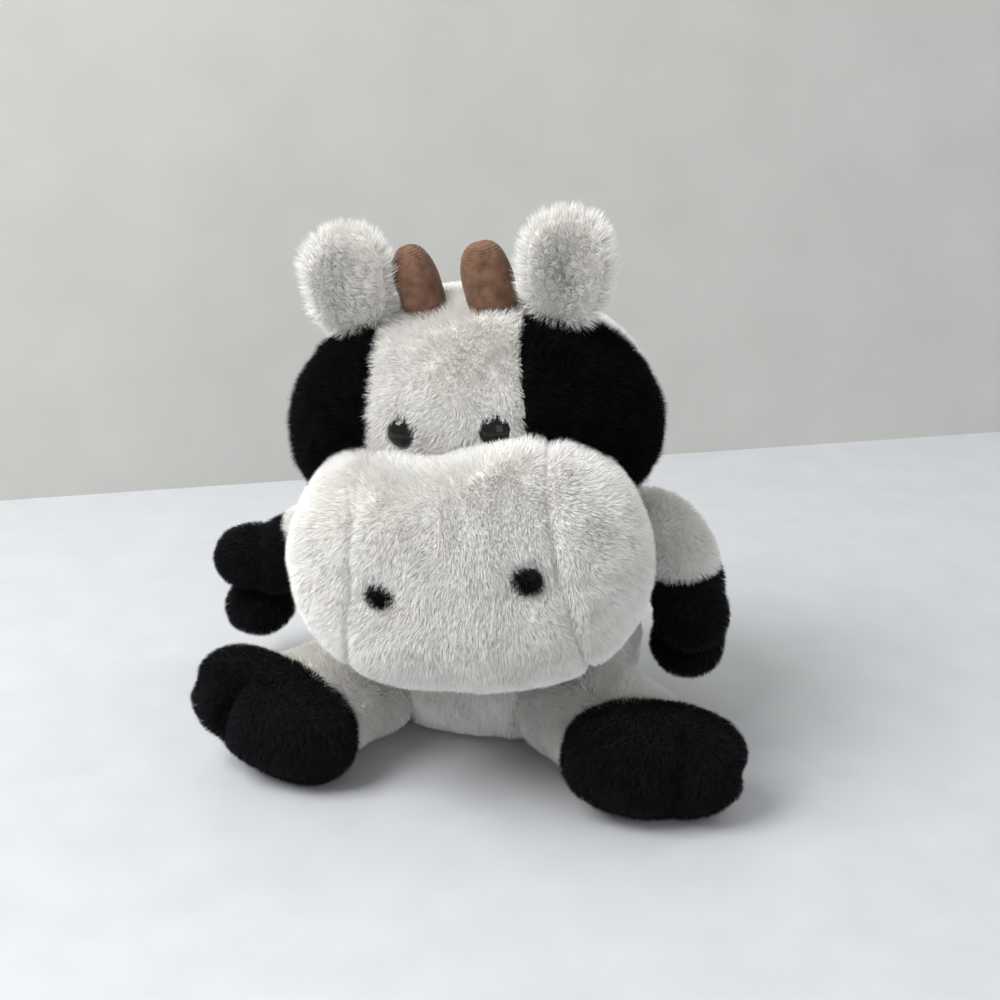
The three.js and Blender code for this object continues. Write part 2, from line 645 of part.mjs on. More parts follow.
function buildHead() {
  const eyes = Object.entries(SIDES).map(([side, sign]) => ({ side, seat: eyeSeat(sign) }));
  const nostrils = Object.entries(SIDES).map(([side, sign]) => ({ side, seat: nostrilSeat(side, sign) }));
  const neckBall = ball(neck, [0, 0, 0], NECK_BALL, BALL_SEGMENTS, 10);
  const neckRoom = socket(neck, [0, 0, 0], neckBandOuter + 2 * SEAM_GAP + PLUSH);
  const lined = LINING + SEAM_GAP;
  const eyeRooms = eyes.map(({ seat }) => eyeRoom(seat));
  const washerRooms = eyes.map(({ seat }) => washerRoom(seat));

  const core = without(headForm(-PLUSH - SEAM_GAP, 14, 8).add(neckBall),
    [headPocket(lined), ...washerRooms]);
  addPiece(head, 'head_stuffing', core, 'stuffing');
  const insideNeck = halfSpace(head, [0, 0, -NECK_BALL * 0.7], [0, 0, 1]);
  addPiece(head, 'head_finger_pocket',
    headPocket(LINING).subtract(headPocket(0)).intersect(insideNeck), 'lining');

  const shell = without(headForm(0),
    [headForm(-PLUSH, 14, 8), muzzleForm(SEAM_GAP), neckRoom, ...eyeRooms]);
  const halfGap = SEAM_GAP / 2;
  const lean = CROWN_SEAM_LEAN * DEGREE;
  const forward = [0, -Math.cos(lean), -Math.sin(lean)];
  const crown = (offset) => [0, CROWN_SEAM - HEAD_FORWARD + offset, HEAD_RISE];
  const faceSide = (offset) => halfSpace(head, crown(offset), forward)
    .intersect(halfSpace(head, [0, 0, HEAD_RISE - CHIN_SEAM - offset], [0, 0, 1]));
  const front = shell.intersect(faceSide(-halfGap));
  const beside = (side, offset) => halfSpace(head,
    [SIDES[side] * (BLAZE_EDGE[side] + offset), 0, HEAD_RISE],
    [SIDES[side] * Math.cos(BLAZE_LEAN * DEGREE), 0, Math.sin(BLAZE_LEAN * DEGREE)]);
  addPiece(head, 'head_back', shell.subtract(faceSide(halfGap)), 'whitePlush');
  addPiece(head, 'head_blaze',
    without(front, Object.keys(SIDES).map((side) => beside(side, -halfGap))), 'whitePlush');
  for (const side of Object.keys(SIDES)) {
    addPiece(head, `head_patch_${side}`, front.intersect(beside(side, halfGap)), 'blackPlush');
  }

  for (const { side, seat } of eyes) {
    addPiece(head, `eye_${side}`, solid(seat, turnedForm(eyeOutline(0))), 'eyePlastic');
    addPiece(head, `eye_washer_${side}`, washer(seat, 0), 'washerPlastic');
  }
  buildMuzzle(nostrils, eyeRooms);
}

function buildMuzzle(nostrils, eyeRooms) {
  const nostrilCutters = nostrils.map(({ seat }) => nostril(seat, SEAM_GAP));
  const neckRoom = socket(neck, [0, 0, 0], neckBandOuter + 2 * SEAM_GAP + PLUSH, 10, 6);
  const headInner = headForm(-PLUSH, 14, 8);
  const core = without(muzzleForm(-PLUSH - SEAM_GAP, 12, 8), [headInner, neckRoom, ...eyeRooms]);
  addPiece(head, 'muzzle_stuffing', core, 'stuffing');
  const shell = without(muzzleForm(0),
    [muzzleForm(-PLUSH, 12, 8), headInner, neckRoom, ...nostrilCutters, ...eyeRooms]);
  const lean = MUZZLE_SEAM_LEAN * DEGREE;
  const beside = (sign, offset) => halfSpace(head,
    [MUZZLE_ASIDE + sign * (MUZZLE_SEAM + offset), 0, -MUZZLE_DROP],
    [sign * Math.cos(lean), 0, Math.sin(lean)]);
  const halfGap = SEAM_GAP / 2;
  addPiece(head, 'muzzle_centre',
    without(shell, [beside(1, -halfGap), beside(-1, -halfGap)]), 'whitePlush');
  for (const [side, sign] of Object.entries(SIDES)) {
    addPiece(head, `muzzle_side_${side}`, shell.intersect(beside(sign, halfGap)), 'whitePlush');
  }
  for (const { side, seat } of nostrils) {
    addPiece(head, `nostril_${side}`, nostril(seat, 0), 'nostrilFelt');
  }
}

// Ears and horns

/** The head as an ear meets it over its whole swing. */
function crown(ear) {
  const hinge = ear.matrixWorld;
  return joined(EAR_FLOP.map((angle) => {
    const swing = new THREE.Matrix4().makeRotationX(-angle * DEGREE);
    const turn = hinge.clone().multiply(swing).multiply(hinge.clone().invert());
    return headForm(SEAM_GAP).transform(turn.elements);
  }));
}

function buildEars() {
  for (const [side, sign] of Object.entries(SIDES)) {
    const { point } = surfaceAt(headGeometry(0), headCentre,
      [sign * EAR_SPREAD[side], -HEAD_FORWARD - EAR_FORWARD, HEAD_RISE + HEAD_HEIGHT], [0, 0, -1]);
    const foot = point.toArray();
    foot[2] += EAR_ROOT + SEAM_GAP;
    const ear = frame(head, foot, [0, EAR_SPLAY[side], 0]);
    ear.name = `ear_${side}_hinge`;
    const bend = (p, [a, , c]) => {
      p.y -= EAR_CUP * (p.x / a) ** 2;
      p.x *= 1 - EAR_TAPER * (p.z / c);
    };
    const height = EAR_HEIGHT[side];
    const leaf = solid(ear, roundForm([EAR_WIDTH, EAR_THICKNESS, height + EAR_ROOT],
      { square: 2.5, segments: 16, rings: 10, bend }), [0, 0, (height - EAR_ROOT) / 2])
      .subtract(crown(ear));
    const middle = (grow) => solid(ear, roundForm([3 * EAR_WIDTH, EAR_THICKNESS, 3 * height],
      { square: 8, segments: 16, rings: 4, grow: 0, bend: (p) => {
        p.y += EAR_THICKNESS / 2 + grow - EAR_CUP * (2 * p.x / EAR_WIDTH) ** 2;
      } }));
    const half = SEAM_GAP / 2;
    addPiece(ear, `ear_back_${side}`, leaf.intersect(middle(half)), 'whitePlush');
    addPiece(ear, `ear_lining_${side}`, leaf.subtract(middle(-half)), 'whitePlush');
  }
}

function buildHorns() {
  for (const [side, sign] of Object.entries(SIDES)) {
    const { point } = surfaceAt(headGeometry(0), headCentre,
      [sign * HORN_SPREAD[side], -HEAD_FORWARD - HORN_FORWARD, HEAD_RISE + HEAD_HEIGHT], [0, 0, -1]);
    const horn = frame(head, point.toArray(), [0, -HORN_LEAN[side], 0]);
    const width = HORN_WIDTH[side];
    const form = roundForm([width, HORN_WIDTH.right, HORN_HEIGHT + HORN_ROOT],
      { square: 2.6, segments: 14, rings: 8 });
    addPiece(horn, `horn_${side}`,
      solid(horn, form, [0, 0, (HORN_HEIGHT - HORN_ROOT) / 2]).subtract(headForm(SEAM_GAP)), 'hornCloth');
  }
}

// Arms with their hooves

function buildArms() {
  for (const [side, sign] of Object.entries(SIDES)) {
    const arm = shoulders[side];
    arm.name = `arm_${side}_hinge`;
    const hoofFrame = frame(arm, [ARM_REACH[side], 0, -ARM_DROP[side]],
      [sign * HOOF_TWIST[side], HOOF_LEAN[side], 0]);
    const toe = (rise) => solid(hoofFrame,
      roundForm(HOOF_TOE, { segments: 12, rings: 8 }), [0, 0, rise * HOOF_SPLIT / 2]);
    const sleeve = solid(arm, limbForm(armCurve(side), ARM_RADIUS, { segments: 14, rings: 9 }));
    const end = armCurve(side).getPoint(1);
    const towardsEnd = armCurve(side).getTangent(1);
    const beyondSeam = (offset) => halfSpace(arm,
      end.clone().addScaledVector(towardsEnd, offset - HOOF_SEAM[side]).toArray(), towardsEnd.toArray());
    const body = sleeve.add(ball(arm, [0, 0, 0], ARM_RADIUS)).subtract(beyondSeam(-SEAM_GAP / 2));
    const hoof = joined([toe(1), toe(-1), sleeve]).intersect(beyondSeam(SEAM_GAP / 2));
    const pocket = (grow) => {
      const curve = armCurve(side);
      const start = curve.getPoint(0).x - ARM_RADIUS;
      const reach = new THREE.CatmullRomCurve3([
        new THREE.Vector3(start, 0, 0),
        ...[0.15, 0.3, ARM_POCKET_DEPTH].map((share) => curve.getPoint(share)),
      ]);
      return solid(arm, limbForm(reach, FINGER_RADIUS, { segments: 10, rings: 7, grow }));
    };
    const inBall = ball(arm, [0, 0, 0], ARM_RADIUS).add(halfSpace(arm, [0, 0, 0], [1, 0, 0]));
    addPiece(arm, `arm_${side}`, body.subtract(pocket(LINING + SEAM_GAP)), 'whitePlush');
    addPiece(arm, `arm_finger_pocket_${side}`,
      pocket(LINING).subtract(pocket(0)).intersect(inBall), 'lining');
    addPiece(arm, `hoof_${side}`, hoof, 'blackPlush');
  }
}

// Legs with their feet

function buildLegs() {
  for (const [side, sign] of Object.entries(SIDES)) {
    const leg = hips[side];
    leg.name = `leg_${side}_hinge`;
    const roll = sign * FOOT_ROLL[side];
    const yaw = sign * (FOOT_YAW[side] - LEG_YAW[side]);
    const foot = frame(leg, [0, -LEG_LENGTH[side], 0], [0, -roll, yaw]);
    const bend = (p, [a, b]) => {
      const toe = (sign * p.x) / a;
      const across = (toe - VALLEY_PLACE[side]) / VALLEY_WIDTH;
      const valley = SOLE_VALLEY[side] * Math.exp(-(across ** 2));
      const cleft = TOE_CLEFT * Math.exp(-((p.z / CLEFT_WIDTH) ** 2)) * Math.max(0, toe) ** 6;
      if (p.y < 0) p.y += valley * Math.abs(p.y / b);
      p.x -= sign * cleft;
    };
    const form = (grow) => solid(foot, roundForm([FOOT_LENGTH, FOOT_THICKNESS, FOOT_HEIGHT],
      { square: 2.3, segments: 20, rings: 10, grow, bend }));
    foot.position.z += FOOT_CLEARANCE - form(0).boundingBox().min[2];
    foot.updateWorldMatrix(true, false);
    const seam = (offset, normal) => halfSpace(foot, [0, SOLE_DEPTH - FOOT_THICKNESS / 2 + offset, 0], normal);
    addPiece(foot, `foot_upper_${side}`, form(0).intersect(seam(SEAM_GAP / 2, [0, 1, 0])), 'blackPlush');
    addPiece(foot, `foot_sole_${side}`, form(0).intersect(seam(-SEAM_GAP / 2, [0, -1, 0])), 'blackPlush');
    const thigh = new THREE.LineCurve3(new THREE.Vector3(), new THREE.Vector3(0, -LEG_LENGTH[side], 0));
    const tube = solid(leg, limbForm(thigh, LEG_RADIUS, { across: [1, 0, 0], segments: 16, rings: 8 }))
      .add(ball(leg, [0, 0, 0], LEG_RADIUS));
    addPiece(leg, `leg_${side}`, tube.subtract(form(SEAM_GAP)), 'whitePlush');
  }
}

buildBody();
buildNeck();
buildHead();
buildEars();
buildHorns();
buildArms();
buildLegs();

export default puppet;
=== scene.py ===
"""A plush cow hand puppet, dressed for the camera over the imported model.

Lengths are millimetres in the toy's frame, with the face towards -Y and the toy's own left at +X.
They become metres only when a mesh is made. Leans, turns, rolls and yaws are degrees.
"""

import logging
import math
from collections.abc import Callable, Iterable
from dataclasses import dataclass, field, replace
from enum import Enum
from itertools import product

import bpy
import numpy as np
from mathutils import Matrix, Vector


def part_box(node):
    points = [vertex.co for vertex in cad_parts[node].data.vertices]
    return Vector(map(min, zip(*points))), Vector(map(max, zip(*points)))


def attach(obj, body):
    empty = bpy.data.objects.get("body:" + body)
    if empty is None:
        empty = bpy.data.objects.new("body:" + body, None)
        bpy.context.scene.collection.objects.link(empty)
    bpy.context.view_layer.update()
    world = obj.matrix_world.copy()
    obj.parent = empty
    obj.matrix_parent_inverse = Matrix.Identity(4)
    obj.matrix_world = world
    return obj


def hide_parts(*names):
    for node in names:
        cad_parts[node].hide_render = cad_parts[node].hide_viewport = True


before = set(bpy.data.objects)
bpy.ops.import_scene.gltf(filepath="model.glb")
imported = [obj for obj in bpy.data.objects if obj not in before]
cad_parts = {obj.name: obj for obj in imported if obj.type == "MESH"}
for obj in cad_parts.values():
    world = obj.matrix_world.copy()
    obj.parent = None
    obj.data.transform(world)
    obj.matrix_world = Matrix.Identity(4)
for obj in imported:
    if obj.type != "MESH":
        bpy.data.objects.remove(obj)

log = logging.getLogger("puppet")

MM = 0.001
ROOT_DEPTH = 2.0  # the cloth that the pile grows from lies this far below the pile's surface
FILLING_DEPTH = 4.3  # the filling lies this far below the pile's surface
TUCK = 6.0  # cloth runs on this far inside the form that it is sewn to
SEAM_GAP = 0.3
LIMB_ROOM = 0.6  # the body gives way to a limb by this much
SHORT_PILE = 0.45  # the share of its length that pile keeps where a limb turns inside the body
LINING_THICKNESS = 1.2
LINING_ROOM = 1.6  # the filling stands this far outside a lining
FAR = 99.0  # further from a seam than it reaches
MOST_BLADES = 62000  # a pile of more fibres is made as several pieces

Direction = tuple[float, float, float]
Flow = Callable[[np.ndarray], np.ndarray]


class Side(Enum):
    """The toy's own left, at +X, and its right."""

    LEFT = 1
    RIGHT = -1

    @property
    def word(self) -> str:
        """The side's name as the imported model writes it."""
        return self.name.lower()


# Numbers that many pieces use


def unit(vectors: np.ndarray) -> np.ndarray:
    """Vectors brought to length one."""
    return vectors / np.maximum(np.linalg.norm(vectors, axis=-1, keepdims=True), 1e-9)


def rise(distance: np.ndarray, reach: float) -> np.ndarray:
    """A smooth bell that is one at no distance and fades out over the reach."""
    return np.exp(-((distance / reach) ** 2))


def hashed(cells: np.ndarray, seed: int) -> np.ndarray:
    """A steady random number from 0 to 1 for each whole-numbered cell.

    Args:
        cells: Whole cell numbers, three to a row.
        seed: Picks one of many such fields.

    Returns:
        One number per row.
    """
    mixed = (cells[:, 0] * 73856093) ^ (cells[:, 1] * 19349663) ^ (cells[:, 2] * 83492791)
    mixed = (mixed ^ (seed * 40503 + 977)) & 0xFFFFFFFF
    mixed = ((mixed ^ (mixed >> 15)) * 739982445) & 0xFFFFFFFF
    mixed = ((mixed ^ (mixed >> 12)) * 695872825) & 0xFFFFFFFF
    return ((mixed ^ (mixed >> 15)) & 0xFFFFFF) / 0xFFFFFF


def lumps(points: np.ndarray, size: float, seed: int) -> np.ndarray:
    """Smooth noise from -1 to 1.

    Args:
        points: Where the noise is wanted.
        size: The rough size of a lump.
        seed: Picks one of many such fields.

    Returns:
        One number per point.
    """
    scaled = points / size
    cell = np.floor(scaled).astype(np.int64)
    part = scaled - cell
    part = part * part * (3 - 2 * part)
    total = np.zeros(len(points))
    for corner in product((0, 1), repeat=3):
        weight = np.where(np.array(corner), part, 1 - part).prod(1)
        total += weight * hashed(cell + np.array(corner), seed)
    return 2 * total - 1


def tuft_centres(points: np.ndarray, spacing: float, seed: int) -> np.ndarray:
    """The middle of the tuft that each fibre gathers to.

    Args:
        points: The fibres' roots.
        spacing: The rough distance between two tufts.
        seed: Picks one of many layouts.

    Returns:
        One centre per root.
    """
    cell = np.floor(points / spacing).astype(np.int64)
    nearest = np.full(len(points), np.inf)
    centres = points.copy()
    for step in product((-1, 0, 1), repeat=3):
        other = cell + np.array(step)
        jitter = np.stack([hashed(other, seed + k) for k in range(3)], 1)
        candidate = (other + jitter) * spacing
        distance = ((candidate - points) ** 2).sum(1)
        closer = distance < nearest
        nearest[closer] = distance[closer]
        centres[closer] = candidate[closer]
    return centres


# Frames, surfaces and forms


@dataclass(frozen=True)
class Place:
    """A frame of the toy: where its origin lies and how it is turned."""

    origin: np.ndarray = field(default_factory=lambda: np.zeros(3))
    turn: np.ndarray = field(default_factory=lambda: np.eye(3))

    def out(self, points: np.ndarray) -> np.ndarray:
        """Points of this frame in the toy's frame."""
        return points @ self.turn.T + self.origin

    def into(self, points: np.ndarray) -> np.ndarray:
        """Points of the toy's frame in this frame."""
        return (points - self.origin) @ self.turn

    def direct(self, vectors: Iterable[float]) -> np.ndarray:
        """Directions of this frame in the toy's frame."""
        return np.asarray(vectors, float) @ self.turn.T

    def placed(self, origin: Direction, angles: Direction = (0, 0, 0)) -> "Place":
        """A frame inside this one.

        Args:
            origin: The new origin in this frame.
            angles: Turns in degrees about X, then Y, then Z.

        Returns:
            The new frame.
        """
        turn = np.eye(3)
        for axis, angle in enumerate(angles):
            a, b = [(1, 2), (2, 0), (0, 1)][axis]
            step = np.eye(3)
            step[a, a] = step[b, b] = math.cos(math.radians(angle))
            step[b, a] = math.sin(math.radians(angle))
            step[a, b] = -step[b, a]
            turn = step @ turn
        return Place(self.out(np.array(origin, float)), self.turn @ turn)


@dataclass
class Surface:
    """A skin of four-cornered faces in the toy's frame."""

    points: np.ndarray
    quads: np.ndarray

    def normals(self) -> np.ndarray:
        """The outward direction at each point.

        Returns:
            One direction of length one per point.
        """
        corners = self.points[self.quads]
        face = np.cross(corners[:, 2] - corners[:, 0], corners[:, 3] - corners[:, 1])
        total = np.zeros_like(self.points)
        for corner, axis in product(range(4), range(3)):
            total[:, axis] += np.bincount(self.quads[:, corner], face[:, axis], len(self.points))
        return unit(total)

    def middles(self) -> np.ndarray:
        """The middle of each face."""
        return self.points[self.quads].mean(1)

    def kept(self, keep: np.ndarray) -> "Surface":
        """The part of the skin whose faces are marked."""
        used, places = np.unique(self.quads[keep], return_inverse=True)
        return Surface(self.points[used], places.reshape(-1, 4))

    def moved(self, amounts: np.ndarray) -> "Surface":
        """The skin with each point moved along its normal."""
        return Surface(self.points + self.normals() * amounts[:, None], self.quads)

    def mesh(self, name: str) -> bpy.types.Mesh:
        """A smooth-shaded mesh of the skin.

        Args:
            name: The mesh's name.

        Returns:
            The mesh, in metres.
        """
        data = bpy.data.meshes.new(name)
        data.from_pydata((self.points * MM).tolist(), [], self.quads.tolist())
        data.shade_smooth()
        return data


def cube_skin(steps: int) -> tuple[np.ndarray, np.ndarray]:
    """A ball's directions, laid out as the skin of a cube.

    Args:
        steps: Faces along each edge of the cube.

    Returns:
        The directions, and the four-cornered faces between them.
    """
    run = np.tan(np.linspace(-1, 1, steps + 1) * math.pi / 4)
    across, along = np.meshgrid(run, run, indexing="ij")
    number = np.arange((steps + 1) ** 2).reshape(steps + 1, steps + 1)
    sheet = np.stack([number[:-1, :-1], number[1:, :-1], number[1:, 1:], number[:-1, 1:]], -1)
    points, quads = [], []
    for axis, sign in product(range(3), (1, -1)):
        side = np.empty((steps + 1, steps + 1, 3))
        side[..., axis] = sign
        side[..., (axis + 1) % 3] = across * sign
        side[..., (axis + 2) % 3] = along
        quads.append(sheet.reshape(-1, 4) + len(points) * number.size)
        points.append(side.reshape(-1, 3))
    _, first, places = np.unique(
        np.concatenate(points).round(6), axis=0, return_index=True, return_inverse=True
    )
    return np.concatenate(points)[first], places.reshape(-1)[np.concatenate(quads)]


@dataclass(frozen=True)
class PaddedForm:
    """A padded form, rounder than a box and fuller than an egg.

    Attributes:
        size: Its width, thickness and height.
        centre: Its middle in its frame.
        place: Its frame.
        square: How square it is; at 2 it is an egg, and more is boxier.
        taper: The shares of its width and thickness by which its top is narrower than its middle.
        bend: Moves the points of its skin, about its centre.
        unbend: Moves such points back, roughly.
    """

    size: Direction
    centre: Direction
    place: Place
    square: float = 2.2
    taper: tuple[float, float] = (0.0, 0.0)
    bend: Callable[[np.ndarray], np.ndarray] | None = None
    unbend: Callable[[np.ndarray], np.ndarray] | None = None

    def grown(self, amount: float) -> "PaddedForm":
        """The same form, larger by the amount all round."""
        return replace(self, size=tuple(side + 2 * amount for side in self.size))

    def surface(self, spacing: float, grow: float = 0.0) -> Surface:
        """The form's skin.

        Args:
            spacing: The rough size of a face.
            grow: How far the skin stands outside the form.

        Returns:
            The skin in the toy's frame.
        """
        half = np.array(self.size) / 2 + grow
        directions, quads = cube_skin(max(4, round(half.max() * math.pi / 2 / spacing)))
        full = (np.abs(directions) ** self.square).sum(1, keepdims=True) ** (1 / self.square)
        points = directions / full * half
        for axis, share in enumerate(self.taper):
            points[:, axis] *= 1 - share * points[:, 2] / half[2]
        if self.bend is not None:
            points = self.bend(points)
        return Surface(self.place.out(points + np.array(self.centre)), quads)

    def depth(self, points: np.ndarray) -> np.ndarray:
        """How far points lie inside the form.

        Args:
            points: Points in the toy's frame.

        Returns:
            One depth per point; less than nothing is outside.
        """
        half = np.array(self.size) / 2
        local = self.place.into(points) - np.array(self.centre)
        if self.unbend is not None:
            local = self.unbend(local)
        lean = np.clip(local[:, 2] / half[2], -1.5, 1.5)
        for axis, share in enumerate(self.taper):
            local[:, axis] /= 1 - share * lean
        full = (np.abs(local / half) ** self.square).sum(1) ** (1 / self.square)
        return np.linalg.norm(local, axis=1) * (1 / np.maximum(full, 1e-6) - 1)


@dataclass(frozen=True)
class Limb:
    """A stuffed tube with rounded ends along a line."""

    line: np.ndarray
    radius: float
    place: Place

    def surface(self, spacing: float, grow: float = 0.0) -> Surface:
        """The tube's skin.

        Args:
            spacing: The rough size of a face.
            grow: How far the skin stands outside the tube.

        Returns:
            The skin in the toy's frame.
        """
        run = np.linalg.norm(np.diff(self.line, axis=0), axis=1)
        along = np.concatenate([[0], np.cumsum(run)]) / run.sum()
        directions, quads = cube_skin(max(5, round(run.sum() / 2 / spacing)))
        directions = unit(directions)
        share = 0.5 + 0.5 * directions[:, 2]
        at = np.stack([np.interp(share, along, self.line[:, k]) for k in range(3)], 1)
        slopes = np.gradient(self.line, along, axis=0)
        tangent = unit(np.stack([np.interp(share, along, slopes[:, k]) for k in range(3)], 1))
        plane = unit(np.cross(self.line[-1] - self.line[0], self.line[len(run) // 2] - self.line[0] + 1e-6))
        side = np.broadcast_to(plane, tangent.shape)
        up = unit(np.cross(tangent, side))
        ends = directions[:, 2]
        girth = (self.radius + grow) * np.sqrt(np.maximum(0, 1 - np.abs(ends) ** 5))
        turn = unit(directions[:, :2] + 1e-9)
        points = at + tangent * (grow * ends)[:, None]
        points = points + side * (girth * turn[:, 0])[:, None] + up * (girth * turn[:, 1])[:, None]
        return facing_out(Surface(self.place.out(points), quads))

    def depth(self, points: np.ndarray) -> np.ndarray:
        """How far points lie inside the tube.

        Args:
            points: Points in the toy's frame.

        Returns:
            One depth per point; less than nothing is outside.
        """
        local = self.place.into(points)
        nearest = np.full(len(local), np.inf)
        for start, end in zip(self.line[:-1], self.line[1:]):
            way = end - start
            share = np.clip((local - start) @ way / (way @ way), 0, 1)
            nearest = np.minimum(nearest, np.linalg.norm(local - start - share[:, None] * way, axis=1))
        return self.radius - nearest


@dataclass(frozen=True)
class Ball:
    """A ball about a point of a frame."""

    centre: Direction
    radius: float
    place: Place

    def surface(self, spacing: float, grow: float = 0.0) -> Surface:
        """The ball's skin, as PaddedForm.surface gives it."""
        side = 2 * self.radius
        return PaddedForm((side, side, side), self.centre, self.place, 2.0).surface(spacing, grow)

    def depth(self, points: np.ndarray) -> np.ndarray:
        """How far points lie inside the ball; less than nothing is outside."""
        return self.radius - np.linalg.norm(points - self.place.out(np.array(self.centre, float)), axis=1)


Form = PaddedForm | Limb | Ball


def facing_out(surface: Surface) -> Surface:
    """Turns a skin's faces so that it encloses its inside.

    Args:
        surface: A closed skin; it is changed itself.

    Returns:
        The same skin.
    """
    corners = surface.points[surface.quads]
    face = np.cross(corners[:, 2] - corners[:, 0], corners[:, 3] - corners[:, 1])
    if (face * corners.mean(1)).sum() < 0:
        surface.quads = surface.quads[:, ::-1].copy()
    return surface


def facing_in(surface: Surface) -> Surface:
    """Turns the faces of a room's skin to the room's inside.

    Args:
        surface: The room's skin; it is changed itself.

    Returns:
        The same skin.
    """
    outwards = surface.points - surface.points.mean(0)
    if (surface.normals() * outwards).sum() > 0:
        surface.quads = surface.quads[:, ::-1].copy()
    return surface


def together(surfaces: list[Surface]) -> Surface:
    """Several skins as one.

    Args:
        surfaces: The skins.

    Returns:
        One skin with all their faces.
    """
    counts = np.cumsum([0] + [len(s.points) for s in surfaces[:-1]])
    return Surface(
        np.concatenate([s.points for s in surfaces]),
        np.concatenate([s.quads + count for s, count in zip(surfaces, counts)]),
    )


def bar(start: Direction, end: Direction, radius: float, place: Place) -> Limb:
    """A straight round-ended bar between two points of a frame."""
    return Limb(np.linspace(start, end, 8), radius, place)


def sewn(forms: list[Surface], cutters: list[Surface], voxel: float, smooth: int) -> Surface:
    """One closed skin round several forms, less the cutters, with its edges rounded.

    Args:
        forms: Closed skins that the result holds.
        cutters: Closed skins that are taken out of it.
        voxel: The rough size of a face.
        smooth: How often the skin is smoothed.

    Returns:
        The new skin.
    """
    whole = bpy.data.objects.new("blank", together(forms).mesh("blank"))
    bpy.context.scene.collection.objects.link(whole)
    step = whole.modifiers.new("join", "REMESH")
    step.mode, step.voxel_size, step.adaptivity = "VOXEL", voxel * MM, 0
    tools = []
    for cutter in cutters:
        tool = bpy.data.objects.new("cutter", cutter.mesh("cutter"))
        bpy.context.scene.collection.objects.link(tool)
        tools.append(tool)
        cut = whole.modifiers.new("cut", "BOOLEAN")
        cut.operation, cut.solver, cut.object = "DIFFERENCE", "EXACT", tool
    if cutters:
        again = whole.modifiers.new("round", "REMESH")
        again.mode, again.voxel_size, again.adaptivity = "VOXEL", voxel * MM, 0
    soft = whole.modifiers.new("soften", "SMOOTH")
    soft.factor, soft.iterations = 0.5, smooth
    shape = whole.evaluated_get(bpy.context.evaluated_depsgraph_get()).to_mesh()
    if not shape.polygons:
        raise ValueError("a sewn skin came out empty")
    points = np.empty(len(shape.vertices) * 3, np.float32)
    shape.vertices.foreach_get("co", points)
    corners = np.empty(len(shape.loops), np.int32)
    shape.loops.foreach_get("vertex_index", corners)
    result = Surface(points.reshape(-1, 3).astype(float) / MM, corners.reshape(-1, 4).astype(int))
    for used in [whole, *tools]:
        data = used.data
        bpy.data.objects.remove(used)
        bpy.data.meshes.remove(data)
    return result


# Finishes


def colour(code: str) -> tuple[float, float, float, float]:
    """A written colour as the linear values that a shader takes.

    Args:
        code: The colour in six digits, such as f1efea.

    Returns:
        Red, green, blue and an alpha of one.
    """
    parts = [int(code[k : k + 2], 16) / 255 for k in (0, 2, 4)]
    linear = [p / 12.92 if p <= 0.04045 else ((p + 0.055) / 1.055) ** 2.4 for p in parts]
    return (*linear, 1.0)


def ramp(
    tree: bpy.types.NodeTree, value: bpy.types.NodeSocket, stops: Iterable[tuple[float, str]]
) -> bpy.types.NodeSocket:
    """The colour that a ramp gives for a value.

    Args:
        tree: The material's nodes.
        value: What drives the ramp.
        stops: Places from 0 to 1 with their written colours.

    Returns:
        The ramp's colour.
    """
    node = tree.nodes.new("ShaderNodeValToRGB")
    stops = list(stops)
    while len(node.color_ramp.elements) < len(stops):
        node.color_ramp.elements.new(0.5)
    for element, (position, code) in zip(node.color_ramp.elements, stops):
        element.position = position
        element.color = colour(code)
    tree.links.new(value, node.inputs["Fac"])
    return node.outputs["Color"]


def bump(tree: bpy.types.NodeTree, height: bpy.types.NodeSocket, strength: float, depth: float) -> None:
    """Raises a material's surface.

    Args:
        tree: The material's nodes.
        height: The height at each point, from 0 to 1.
        strength: The share of the effect.
        depth: What a height of 1 stands for, in millimetres.
    """
    node = tree.nodes.new("ShaderNodeBump")
    settle(node, {"Strength": strength, "Distance": depth * MM})
    tree.links.new(height, node.inputs["Height"])
    tree.links.new(node.outputs["Normal"], tree.nodes["Principled BSDF"].inputs["Normal"])


def settle(node: bpy.types.Node, values: dict[str, float | tuple[float, ...]]) -> None:
    """Sets a node's inputs, given by their names."""
    for name, value in values.items():
        node.inputs[name].default_value = value


def object_noise(tree: bpy.types.NodeTree, size: float, detail: float) -> bpy.types.NodeSocket:
    """Noise that is fixed to the piece.

    Args:
        tree: The material's nodes.
        size: The rough size of a lump, in millimetres.
        detail: How many finer layers lie on the lumps.

    Returns:
        The noise, from 0 to 1.
    """
    place = tree.nodes.new("ShaderNodeTexCoord")
    noise = tree.nodes.new("ShaderNodeTexNoise")
    settle(noise, {"Scale": 1 / (size * MM), "Detail": detail})
    tree.links.new(place.outputs["Object"], noise.inputs["Vector"])
    return noise.outputs["Fac"]


@dataclass(frozen=True)
class Finish:
    """A surface finish. Its material is made once and shared by all that wear it."""

    name: str

    def dress(self, tree: bpy.types.NodeTree, shader: bpy.types.ShaderNode) -> None:
        """Sets up the material's nodes; each kind of finish has its own way."""
        raise NotImplementedError

    def material(self) -> bpy.types.Material:
        """The finish's material.

        Returns:
            The one material that every piece with this finish wears.
        """
        material = bpy.data.materials.get(self.name)
        if material is None:
            material = bpy.data.materials.new(self.name)
            material.use_nodes = True
            self.dress(material.node_tree, material.node_tree.nodes["Principled BSDF"])
        return material


